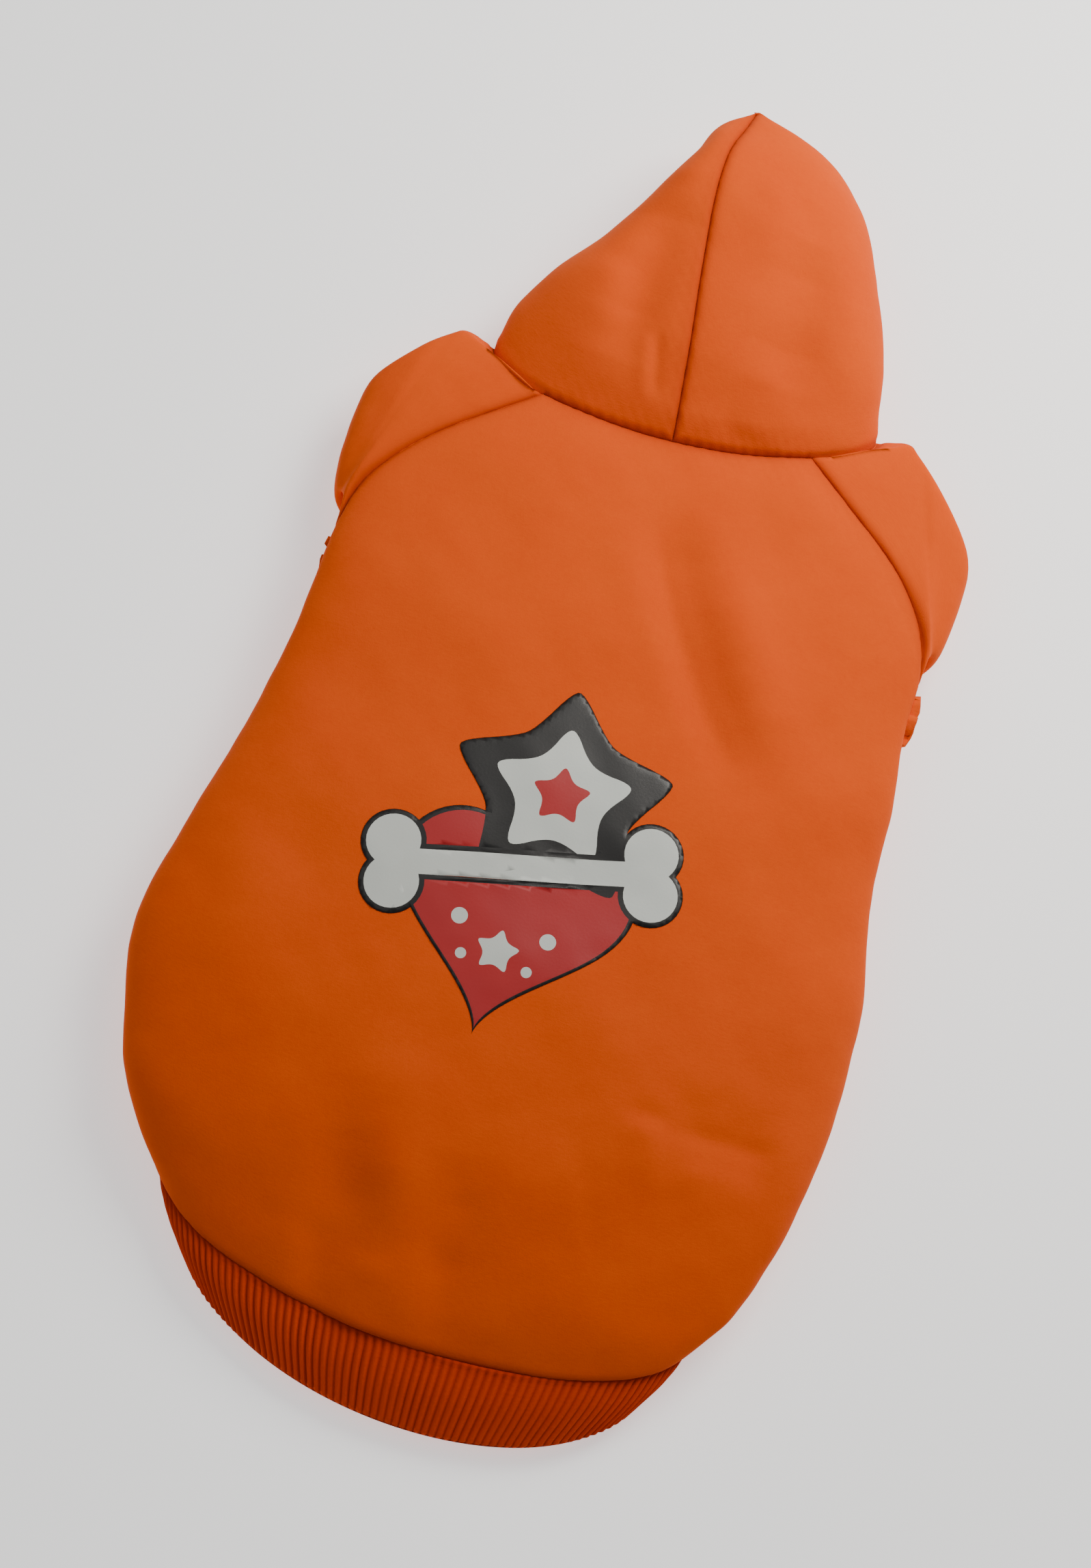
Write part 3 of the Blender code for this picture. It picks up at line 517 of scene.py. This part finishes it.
SEAM_DROP = 1.3 * MM  # how far the cloth dives at a seam
SEAM_ROLL = 2.6 * MM  # width over which it rounds down
SEAM_SWELL = 9 * MM  # width of the shallow trough beside it
SEAM_TROUGH = 0.35 * MM
EDGE_INSERTS = (0.12, 0.3, 0.58)  # extra lines between a border and the next line
WAVES = (  # length in millimetres, height in millimetres and number of the slow unevennesses of the cloth
    (62, 0.55, 5),
    (27, 0.16, 8),
    (11, 0.045, 10),
)

BORDERS = {  # what each border is: the first row, the last row, the first column, the last column
    "back_panel": ("seam", "seam", "seam", "seam"),
    "belly_panel": ("seam", "seam", "seam", "seam"),
    "sleeve_left": ("seam", "rim"),
    "sleeve_right": ("seam", "rim"),
    "hood_right": ("seam", "seam", "seam", "rim"),
    "hood_left": ("seam", "seam", "rim", "seam"),
}


def strip(start, end, beyond, count):
    """Rows from a ring to the next section, which it meets in the section's own direction."""
    gap = end - start
    reach = np.linalg.norm(gap, axis=1, keepdims=True)
    way = beyond - end
    way = unit(way) * reach
    made = []
    for s in np.arange(count) / count:
        a, b = 2 * s**3 - 3 * s**2 + 1, -2 * s**3 + 3 * s**2
        c, d = s**3 - 2 * s**2 + s, s**3 - s**2
        made.append(a * start + b * end + c * gap + d * way)
    return np.array(made)


def grid_distances(grid):
    """Distance of every point from each border, along the lines of the grid."""
    rows = np.linalg.norm(np.diff(grid, axis=0), axis=2)
    across = np.linalg.norm(np.diff(grid, axis=1), axis=2)
    down = np.concatenate([np.zeros((1, grid.shape[1])), np.cumsum(rows, axis=0)])
    over = np.concatenate([np.zeros((grid.shape[0], 1)), np.cumsum(across, axis=1)], axis=1)
    return down, down[-1:] - down, over, over[:, -1:] - over


def refined(values, closed):
    """The grid's values with extra lines beside its borders."""
    made = insert_lines(values)
    return made if closed else insert_lines(made.swapaxes(0, 1)).swapaxes(0, 1)


def insert_lines(values):
    extra = [values[:1] + (values[1:2] - values[:1]) * s for s in EDGE_INSERTS]
    late = [values[-1:] + (values[-2:-1] - values[-1:]) * s for s in reversed(EDGE_INSERTS)]
    return np.concatenate([values[:1], *extra, values[1:-1], *late, values[-1:]])


def unit(vectors):
    return vectors / (np.linalg.norm(vectors, axis=-1, keepdims=True) + TINY)


def unevenness(points):
    """Slow waves of the cloth over the whole garment."""
    dice = np.random.default_rng(5)
    height = np.zeros(points.shape[:-1])
    for length, size, count in WAVES:
        for _ in range(count):
            way = unit(dice.normal(size=3) * np.array([1, 1, 0.4]))
            turns = 2 * math.pi / (length * MM * dice.uniform(0.75, 1.3))
            height += size * MM / math.sqrt(count) * np.sin(points @ way * turns + dice.uniform(0, 6.28))
    return height


def crease_height(points):
    """Height of the creases and ridges over each place of the upper side."""
    height = np.zeros(points.shape[:-1])
    for row in CREASES:
        crease = dict(zip(CREASE_COLUMNS, row))
        run = smooth(np.array(crease["run"], float) * MM, (12,) * (len(crease["run"]) - 1))
        steps = np.linalg.norm(np.diff(run, axis=0), axis=1)
        at = np.concatenate([[0], np.cumsum(steps)])
        near = np.full(points.shape[:-1], 1e9)
        side = np.zeros(points.shape[:-1])
        share = np.zeros(points.shape[:-1])
        for k, (a, b) in enumerate(zip(run[:-1], run[1:])):
            way = (b - a) / steps[k]
            away = points[..., :2] - a
            along = np.clip(away @ way, 0, steps[k])
            gap = np.linalg.norm(away - along[..., None] * way, axis=-1)
            closer = gap < near
            near = np.where(closer, gap, near)
            side = np.where(closer, -(away @ np.array([-way[1], way[0]])), side)
            share = np.where(closer, (at[k] + along) / at[-1], share)
        width = crease["width"] * MM
        ends = np.clip(np.minimum(share, 1 - share) / 0.28, 0, 1)
        ends = ends * ends * (3 - 2 * ends)
        groove = np.exp(-((near / width) ** 2))
        lip = np.exp(-(((side - 1.9 * width) / (1.3 * width)) ** 2)) * np.exp(-((near / (4 * width)) ** 2))
        height += (crease["lip"] * lip - crease["depth"] * groove) * ends * MM
    return height


def seam_dip(distance):
    """How far the cloth dives beside a seam."""
    share = np.clip(1 - distance / SEAM_ROLL, 0, 1)
    roll = SEAM_DROP * (1 - np.sqrt(np.clip(1 - share**2, 0, 1)))
    return roll + SEAM_TROUGH * np.exp(-((distance / SEAM_SWELL) ** 2))


def rim_dip(distance):
    share = np.clip(1 - distance / (FLEECE / 2), 0, 1)
    return FLEECE / 2 * (1 - np.sqrt(np.clip(1 - share**2, 0, 1)))


def detailed(name, grid, normals):
    """The panel's outer surface with its seams, creases and unevenness, and the painted shade along its
    seams.
    """
    closed = name in CLOSED
    grid, normals = refined(grid, closed), unit(refined(normals, closed))
    borders = BORDERS[name]
    distances = grid_distances(grid)[: len(borders)]
    sink = np.zeros(grid.shape[:2])
    groove = np.zeros(grid.shape[:2])
    for kind, distance in zip(borders, distances):
        if kind == "seam":
            pucker = 1 + 0.16 * np.sin(grid[..., 0] * 1500) * np.sin(grid[..., 1] * 1150 + 1)
            sink = np.maximum(sink, seam_dip(distance) * pucker)
            # painted shade: groove is 1 at a seam and fades within a few millimetres, darkening the cloth's
            # colour where the seam's recess lies in shade
            groove = np.maximum(groove, np.exp(-distance / (1.5 * MM)))
        else:
            sink = np.maximum(sink, rim_dip(distance))
    upper = np.clip(grid[..., 2] / (0.45 * BODY_HEIGHT) - 0.6, 0, 1)
    lift = crease_height(grid) * upper + unevenness(grid) * np.clip(grid[..., 2] / (8 * MM), 0, 1)
    outer = grid + normals * (lift - sink)[..., None]
    outer[..., 2] = np.maximum(outer[..., 2], 0.05 * MM)
    return outer, normals, groove


def cloth_uv(grid):
    """Lengths across and along the cloth, in metres, from the middle of each row."""
    across = np.linalg.norm(np.diff(grid, axis=1), axis=2)
    over = np.concatenate([np.zeros((grid.shape[0], 1)), np.cumsum(across, axis=1)], axis=1)
    over -= over[:, -1:] / 2
    down = grid_distances(grid)[0]
    return np.stack([over, down.mean(axis=1, keepdims=True) + 0 * down], axis=-1)


def mesh_piece(name, points, faces, material, uv=None, groove=None, inside=None):
    mesh = bpy.data.meshes.new(name)
    mesh.from_pydata([tuple(p) for p in points], [], faces)
    mesh.update()
    mesh.shade_smooth()
    if uv is not None:
        layer = mesh.uv_layers.new(name="cloth")
        corners = np.zeros(len(mesh.loops), dtype=np.int32)
        mesh.loops.foreach_get("vertex_index", corners)
        layer.data.foreach_set("uv", uv[corners].astype(np.float32).ravel())
    # the groove attribute carries the painted shade of the seams and of the rib's grooves to the material
    for label, values in (("groove", groove), ("inside", inside)):
        if values is not None:
            mesh.attributes.new(label, "FLOAT", "POINT").data.foreach_set("value", values.astype(np.float32))
    mesh.materials.append(material)
    made = bpy.data.objects.new(name, mesh)
    bpy.context.scene.collection.objects.link(made)
    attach(made, "root")
    return made


def cloth_piece(name, grid, normals, sleeve_lining, material):
    """A fleece panel as a closed sheet of cloth, which takes the place of its solid."""
    closed = name in CLOSED
    outer, own, groove = detailed(name, grid, normals)
    borders = BORDERS[name]
    if closed:
        lining = refined(sleeve_lining, True)
    else:
        lining = outer - own * FLEECE
    lining[..., 2] = np.maximum(lining[..., 2], 0.1 * MM)
    for kind, distance in zip(borders, grid_distances(outer)):
        if kind == "rim":
            lining += own * np.minimum(rim_dip(distance), 0.45 * FLEECE)[..., None]
    points, faces = walled(outer, lining, closed)
    if name == "sleeve_right":
        faces = [face[::-1] for face in faces]
    count = outer.shape[0] * outer.shape[1]
    uv = cloth_uv(outer).reshape(-1, 2)
    inner = np.concatenate([np.zeros(count), np.ones(count)])
    piece = mesh_piece(
        name + "_cloth", points, faces, material,
        uv=np.concatenate([uv, uv]), groove=np.concatenate([groove.ravel(), 0 * groove.ravel()]),
        inside=inner,
    )
    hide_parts(name)
    declare_sheet(outer, closed)
    return outer


def declare_sheet(grid, closed):
    """Joins a closed grid's first column onto its end; nothing is kept or returned."""
    if closed:
        grid = np.concatenate([grid, grid[:, :1]], axis=1)


def rib_piece(back, belly, shift, material):
    """The ribbed band, each rib a rounded cord of knit from the hem seam to the folded edge."""
    ring = np.concatenate([back[0], belly[0][1:]])
    seam, front = TORSO_SECTIONS[0][-2:]
    back_angles = np.linspace(-seam, seam, BACK_COLUMNS + 1)
    belly_angles = np.linspace(front, 360 - front, BELLY_COLUMNS + 1)
    ring_angles = np.concatenate([back_angles, belly_angles[1:]])
    length = np.concatenate([[0], np.cumsum(np.linalg.norm(np.diff(ring, axis=0), axis=1))])
    ribs = round(length[-1] / RIB_PITCH)
    turn = np.arange(RIB_POINTS * ribs) / RIB_POINTS
    stations = turn / ribs * length[-1]

    def at(values):
        return np.stack([np.interp(stations, length, values[:, k]) for k in range(3)], axis=1)

    angles = np.interp(stations, length, ring_angles)
    rings = smooth_sections(RIB_SECTIONS, TORSO_COLUMNS, (1,), TORSO_SIZES)
    sections = [torso_point(rings, 1, angles), torso_point(rings, 0, angles), at(ring)]
    grid = smooth(sections, RIB_ROWS) + shift
    own = shared_normals({"hem_rib": grid})[0]
    tuck = np.linspace(0, 1, len(grid)) ** 6
    grid = grid - own * (RIB_STEP * tuck)[:, None, None]
    down = grid_distances(grid)[0]
    up = down[-1:] - down
    wobble = 1 + 0.14 * np.sin(turn * 0.83) + 0.10 * np.sin(turn * 0.31 + 2)
    fan = 1 - np.abs(np.sin(math.pi * (turn + 0.05 * np.sin(turn * 0.47))))
    ends = np.clip(down / (2.2 * MM), 0.35, 1) * np.clip(up / (1.6 * MM), 0.5, 1)
    height = -RIB_DEPTH * 1.25 * fan * wobble * ends
    edge = np.clip(1 - down / (RIB_WALL / 2), 0, 1)
    roll = RIB_WALL / 2 * (1 - np.sqrt(1 - edge**2))
    outer = grid + own * (height - roll + 0.35 * unevenness(grid))[..., None]
    lining = grid - own * (RIB_WALL - roll)[..., None]
    outer[..., 2] = np.maximum(outer[..., 2], 0.3 * MM)
    lining[..., 2] = np.maximum(lining[..., 2], 0.25 * MM)
    points, faces = walled(outer, lining, True)
    count = outer.shape[0] * outer.shape[1]
    uv = np.stack([np.broadcast_to(stations, outer.shape[:2]), down], axis=-1).reshape(-1, 2)
    # painted shade: darker in the grooves between the ribs and along the hem seam, where the fleece
    # overhangs the rib
    valley_shade = np.broadcast_to(fan, outer.shape[:2]) ** 2 + np.exp(-up / (2.5 * MM))
    valley_shade = valley_shade.clip(0, 1).ravel()
    piece = mesh_piece(
        "hem_rib_knit", points, faces, material,
        uv=np.concatenate([uv, uv]), groove=np.concatenate([valley_shade, 0 * valley_shade]),
        inside=np.concatenate([np.zeros(count), np.ones(count)]),
    )
    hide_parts("hem_rib")
    declare_sheet(grid, True)


def rounded(loop, first=0.14):
    """The loop with its corners cut and rounded."""
    for share in (first, 0.25, 0.25):
        after = np.roll(loop, -1, axis=0)
        pair = [loop + (after - loop) * share, after + (loop - after) * share]
        loop = np.stack(pair, axis=1).reshape(-1, 2)
    return loop


def circle(centre, radius, count=28):
    t = np.arange(count) / count * 2 * math.pi
    ring = np.stack([np.cos(t), np.sin(t)], axis=1)
    return np.array(centre) * PRINT_HEIGHT + radius * PRINT_HEIGHT * ring


def small_star(centre, radius, turn):
    t = math.radians(turn) + np.arange(10) * math.pi / 5
    size = np.where(np.arange(10) % 2 == 0, radius, 0.52 * radius) * PRINT_HEIGHT
    star = np.stack([size * np.cos(t), size * np.sin(t)], axis=1) + np.array(centre) * PRINT_HEIGHT
    return rounded(star, 0.2)


def print_layers():
    """The motifs of the print from the lowest to the topmost, each a closed loop and its colour."""
    star_place = (STAR_X * PRINT_WIDTH / PRINT_HEIGHT, STAR_Y)
    return [
        (heart_loop(PRINT_OUTLINE, LOOP_POINTS), "black"),
        (heart_loop(0, LOOP_POINTS), "red"),
        (rounded(star_loop(PRINT_OUTLINE)), "black"),
        (small_star(star_place, 0.205, STAR_TURN), "white"),
        (small_star(star_place, 0.085, STAR_TURN), "red"),
        (bone_loop(PRINT_OUTLINE, KNOB_POINTS), "black"),
        (bone_loop(0, KNOB_POINTS), "white"),
        (small_star((0.0, -0.235), 0.062, 90), "white"),
        (circle((-0.115, -0.175), 0.021), "white"),
        (circle((0.115, -0.175), 0.021), "white"),
        (circle((-0.085, -0.265), 0.014), "white"),
        (circle((0.085, -0.265), 0.014), "white"),
    ]


def print_piece(back, shift, materials):
    """The printed film, laid on the fleece of the back, its motifs in three colours."""
    layers = print_layers()
    loops = [loop for loop, _ in layers]
    outlines = [loops[0], loops[2], loops[5]]
    columns, rows = np.meshgrid(np.linspace(-0.5, 0.5, 65), np.linspace(-0.5, 0.5, 79))
    spots = np.stack([columns.ravel() * PRINT_WIDTH, rows.ravel() * PRINT_HEIGHT], axis=1)
    spots = spots[np.any([inside(spots, loop) for loop in outlines], axis=0)]
    corners = np.concatenate(loops + [spots])
    edges, start = [], 0
    for loop in loops:
        edges += [(start + k, start + (k + 1) % len(loop)) for k in range(len(loop))]
        start += len(loop)
    made = delaunay_2d_cdt([Vector(p) for p in corners], edges, [], 0, 1e-6)
    flat, triangles = np.array([tuple(v) for v in made[0]]), np.array(made[2])
    centres = flat[triangles].mean(axis=1)
    kept = np.any([inside(centres, loop) for loop in outlines], axis=0)
    triangles, centres = triangles[kept], centres[kept]
    colour = np.zeros(len(triangles), dtype=int)
    for loop, name in layers:
        colour[inside(centres, loop)] = list(materials).index(name)
    used, triangles = np.unique(triangles, return_inverse=True)
    flat, triangles = flat[used], triangles.reshape(-1, 3)
    place = flat + np.array([PRINT_X * CHEST_HALF_WIDTH, PRINT_Y * BACK_LENGTH]) + shift[:2]
    low = height_under(back, place)
    sides = open_edges(triangles)
    border = np.zeros(len(flat), dtype=bool)
    border[[a for a, b in sides]] = True
    thick = np.where(border, 0.4 * PRINT_FILM, PRINT_FILM)
    bottom = np.column_stack([place, low + PRINT_LIFT])
    top = np.column_stack([place, low + PRINT_LIFT + thick])
    count = len(flat)
    faces = (triangles + count).tolist() + triangles[:, ::-1].tolist()
    faces += [[a, b, b + count, a + count] for a, b in sides]
    made = mesh_piece(
        "back_print_film", np.concatenate([bottom, top]), faces, materials["black"],
        uv=np.concatenate([flat, flat]),
    )
    for name in list(materials)[1:]:
        made.data.materials.append(materials[name])
    below = np.zeros(len(faces) - len(colour), int)
    made.data.polygons.foreach_set("material_index", np.append(colour, below))
    made.data.update()
    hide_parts("back_print")


def height_under(grid, places):
    """Height of the back's upper side under each place."""
    tree = BVHTree.FromPolygons([Vector(p) for p in grid.reshape(-1, 3)], grid_faces(grid, False).tolist())
    above = 2 * BODY_HEIGHT
    return np.array([tree.ray_cast(Vector((x, y, above)), Vector((0, 0, -1)))[0].z for x, y in places])


class Nodes:
    """A material's node tree, built a node at a time."""

    def __init__(self, name):
        self.material = bpy.data.materials.new(name)
        self.material.use_nodes = True
        self.tree = self.material.node_tree
        self.shader = self.tree.nodes["Principled BSDF"]

    def add(self, kind, settings=None, **values):
        made = self.tree.nodes.new(kind)
        for name, value in (settings or {}).items():
            setattr(made, name, value)
        for name, value in values.items():
            self.feed(made.inputs[name.replace("_", " ")], value)
        return made

    def feed(self, socket, value):
        if isinstance(value, bpy.types.NodeSocket):
            self.tree.links.new(value, socket)
        else:
            socket.default_value = value

    def maths(self, operation, a, b=0.0, clamp=False):
        made = self.add("ShaderNodeMath", {"operation": operation, "use_clamp": clamp})
        self.feed(made.inputs[0], a)
        self.feed(made.inputs[1], b)
        return made.outputs[0]

    def mix(self, share, a, b):
        made = self.add("ShaderNodeMix", {"data_type": "RGBA"})
        self.feed(made.inputs[0], share)
        self.feed(made.inputs[6], a)
        self.feed(made.inputs[7], b)
        return made.outputs[2]

    def noise(self, vector, scale, detail=2.0, roughness=0.5):
        made = self.add("ShaderNodeTexNoise", Vector=vector, Scale=scale, Detail=detail, Roughness=roughness)
        return made.outputs["Fac"]

    def stretched(self, vector, across, along):
        made = self.add("ShaderNodeMapping", Vector=vector, Scale=(across, along, 1))
        return made.outputs[0]

    def attribute(self, name):
        return self.add("ShaderNodeAttribute", {"attribute_name": name}).outputs["Fac"]


def fleece(name, light, deep, groove_shade_colour, knit=0.6):
    """Brushed fleece: fine courses of knit under a soft nap, with painted shade darkening its seams and
    grooves, fluffier on the inside.
    """
    made = Nodes(name)
    uv = made.add("ShaderNodeUVMap", {"uv_map": "cloth"}).outputs[0]
    place = made.add("ShaderNodeTexCoord").outputs["Object"]
    courses = made.noise(made.stretched(uv, 520, 1250), 1.0, 1.0, 0.5)
    wales = made.noise(made.stretched(uv, 1500, 420), 1.0, 1.0, 0.5)
    nap = made.noise(place, 2600, 2.0, 0.6)
    patches = made.noise(place, 42, 3.0, 0.55)
    mottle = made.noise(place, 420, 3.0, 0.6)
    weave = made.maths("ADD", made.maths("MULTIPLY", courses, 0.62), made.maths("MULTIPLY", wales, 0.38))
    inside = made.attribute("inside")
    share = made.maths("ADD", made.maths("MULTIPLY", patches, 0.55), made.maths("MULTIPLY", mottle, 0.35))
    share = made.maths("ADD", share, made.maths("MULTIPLY", weave, 0.35))
    share = made.maths("MULTIPLY", made.maths("SUBTRACT", share, 0.35), 1.6, clamp=True)
    colour = made.mix(share, (*deep, 1), (*light, 1))
    # painted shade: the groove attribute mixes the colour towards the darker shade colour in seams and
    # grooves
    colour = made.mix(made.maths("MULTIPLY", made.attribute("groove"), 0.75), colour, (*groove_shade_colour, 1))
    height = made.maths("ADD", made.maths("MULTIPLY", weave, knit), made.maths("MULTIPLY", nap, 0.5))
    height = made.maths("ADD", height, made.maths("MULTIPLY", made.maths("MULTIPLY", mottle, inside), 2.5))
    bump = made.add("ShaderNodeBump", Strength=0.55, Distance=0.22 * MM, Height=height)
    made.feed(made.shader.inputs["Base Color"], colour)
    made.feed(made.shader.inputs["Normal"], bump.outputs[0])
    made.feed(made.shader.inputs["Roughness"], 0.95)
    made.feed(made.shader.inputs["Specular IOR Level"], 0.12)
    made.feed(made.shader.inputs["Sheen Weight"], 0.06)
    made.feed(made.shader.inputs["Sheen Roughness"], 0.45)
    made.feed(made.shader.inputs["Sheen Tint"], (1.0, 0.62, 0.30, 1))
    return made.material


def film(name, colour, worn):
    """Thin satin transfer film with the cloth's grain showing through faintly."""
    made = Nodes(name)
    place = made.add("ShaderNodeTexCoord").outputs["Object"]
    grain = made.noise(place, 1300, 2.0, 0.5)
    cloud = made.noise(place, 60, 2.0, 0.5)
    made.feed(made.shader.inputs["Base Color"], made.mix(cloud, (*colour, 1), (*worn, 1)))
    spread = made.maths("ADD", made.maths("MULTIPLY", cloud, 0.16), 0.34)
    made.feed(made.shader.inputs["Roughness"], spread)
    height = made.maths("ADD", grain, made.maths("MULTIPLY", cloud, 3.0))
    bump = made.add("ShaderNodeBump", Strength=0.18, Distance=0.12 * MM, Height=height)
    made.feed(made.shader.inputs["Normal"], bump.outputs[0])
    return made.material


FLOOR_HALF = 2.5
FLOOR_HEIGHT = -0.2 * MM
FLOOR_GLOW = 0.75
WORLD_GLOW = 0.18


def add_floor():
    mesh = bpy.data.meshes.new("floor")
    signs = ((-1, -1), (1, -1), (1, 1), (-1, 1))
    corners = [(x * FLOOR_HALF, y * FLOOR_HALF, FLOOR_HEIGHT) for x, y in signs]
    mesh.from_pydata(corners, [], [(0, 1, 2, 3)])
    floor = bpy.data.objects.new("floor", mesh)
    bpy.context.scene.collection.objects.link(floor)
    made = Nodes("pale_floor")
    made.feed(made.shader.inputs["Base Color"], (0.9, 0.9, 0.9, 1))
    made.feed(made.shader.inputs["Roughness"], 0.9)
    made.feed(made.shader.inputs["Emission Color"], (1, 1, 1, 1))
    made.feed(made.shader.inputs["Emission Strength"], FLOOR_GLOW)
    mesh.materials.append(made.material)


LIGHT_COLUMNS = ("name", "place", "target", "size", "watts", "colour")
LIGHTS = (
    ("key", (0.24, 0.38, 0.46), (0.04, 0.06, 0.03), 0.36, 4.4, (1.0, 0.96, 0.90)),
    ("fill", (-0.45, 0.05, 0.85), (0.0, 0.0, 0.0), 0.9, 1.5, (1.0, 0.98, 0.96)),
)


def add_lights():
    for row in LIGHTS:
        light = dict(zip(LIGHT_COLUMNS, row))
        data = bpy.data.lights.new(light["name"], "AREA")
        data.size = light["size"]
        data.energy = light["watts"]
        data.color = light["colour"]
        lamp = bpy.data.objects.new(light["name"], data)
        lamp.location = light["place"]
        way = Vector(light["target"]) - Vector(light["place"])
        lamp.rotation_mode = "QUATERNION"
        lamp.rotation_quaternion = way.to_track_quat("-Z", "Y")
        bpy.context.scene.collection.objects.link(lamp)
    world = bpy.data.worlds.new("studio")
    world.use_nodes = True
    sky = world.node_tree.nodes["Background"]
    sky.inputs["Color"].default_value = (1.0, 1.0, 1.0, 1)
    sky.inputs["Strength"].default_value = WORLD_GLOW
    bpy.context.scene.world = world


CAMERA_ELEVATION = math.radians(72)
CAMERA_ROLL = math.radians(17)
CAMERA_DISTANCE = 0.75
CAMERA_TARGET = Vector((-3.5 * MM, -20 * MM, 0))
CAMERA_LENS = 54  # millimetres
CAMERA_SENSOR = 36  # millimetres, on the long side


def add_camera():
    data = bpy.data.cameras.new("camera")
    data.lens = CAMERA_LENS
    data.sensor_width = CAMERA_SENSOR
    data.clip_start = 0.01
    camera = bpy.data.objects.new("camera", data)
    back = Vector((0, -math.cos(CAMERA_ELEVATION), math.sin(CAMERA_ELEVATION)))
    right = Vector((1, 0, 0))
    up = back.cross(right)
    level = right * math.cos(CAMERA_ROLL) + up * math.sin(CAMERA_ROLL)
    upright = -right * math.sin(CAMERA_ROLL) + up * math.cos(CAMERA_ROLL)
    turn = Matrix((level, upright, back)).transposed().to_4x4()
    camera.matrix_world = Matrix.Translation(CAMERA_TARGET + back * CAMERA_DISTANCE) @ turn
    bpy.context.scene.collection.objects.link(camera)
    bpy.context.scene.camera = camera


def frame_shift(grids):
    """From the tables' own origin, at the middle of the hem's edge, to the frame's."""
    low, high = (np.array(corner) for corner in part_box("back_panel"))
    points = grids["back_panel"].reshape(-1, 3)
    shift = (low + high) / 2 - (points.min(axis=0) + points.max(axis=0)) / 2
    shift[2] = 0
    return shift


# Colours of the cloths: on the crests of the knit, between them, and the painted shade in the seams and
# grooves
FLEECE_COLOURS = ((0.84, 0.105, 0.004), (0.76, 0.078, 0.003), (0.34, 0.020, 0.001))
RIB_COLOURS = ((0.80, 0.068, 0.006), (0.70, 0.052, 0.004), (0.38, 0.019, 0.002))
FILM_COLOURS = {  # fresh and worn
    "black": ((0.008, 0.008, 0.008), (0.014, 0.013, 0.013)),
    "red": ((0.46, 0.016, 0.018), (0.40, 0.012, 0.014)),
    "white": ((0.62, 0.66, 0.62), (0.68, 0.71, 0.67)),
}


def sleeve_linings(grids, normals, shift):
    """The inner face of each sleeve, a wall inside its outer one."""
    made = {}
    for name in SLEEVE_SECTIONS:
        over = np.array([-1 if name == "sleeve_left" else 1, 1, 1])
        ring = (grids[name][0] - normals[name][0] * FLEECE) * over
        made[name] = sleeve_grid(SLEEVE_SECTIONS[name], ring, FLEECE) * over + shift
    return made


def main():
    add_camera()
    add_lights()
    add_floor()
    grids = garment_grids()
    shift = frame_shift(grids)
    orange = fleece("fleece", *FLEECE_COLOURS)
    ribbed = fleece("rib_knit", *RIB_COLOURS, knit=1.0)
    films = {name: film("film_" + name, *colours) for name, colours in FILM_COLOURS.items()}
    normals = dict(zip(grids, shared_normals(grids)))
    linings = sleeve_linings(grids, normals, shift)
    rib_piece(grids["back_panel"], grids["belly_panel"], shift, ribbed)
    surfaces = {}
    for name in grids:
        placed = grids[name] + shift
        surfaces[name] = cloth_piece(name, placed, normals[name], linings.get(name), orange)
    print_piece(surfaces["back_panel"], shift, films)


main()
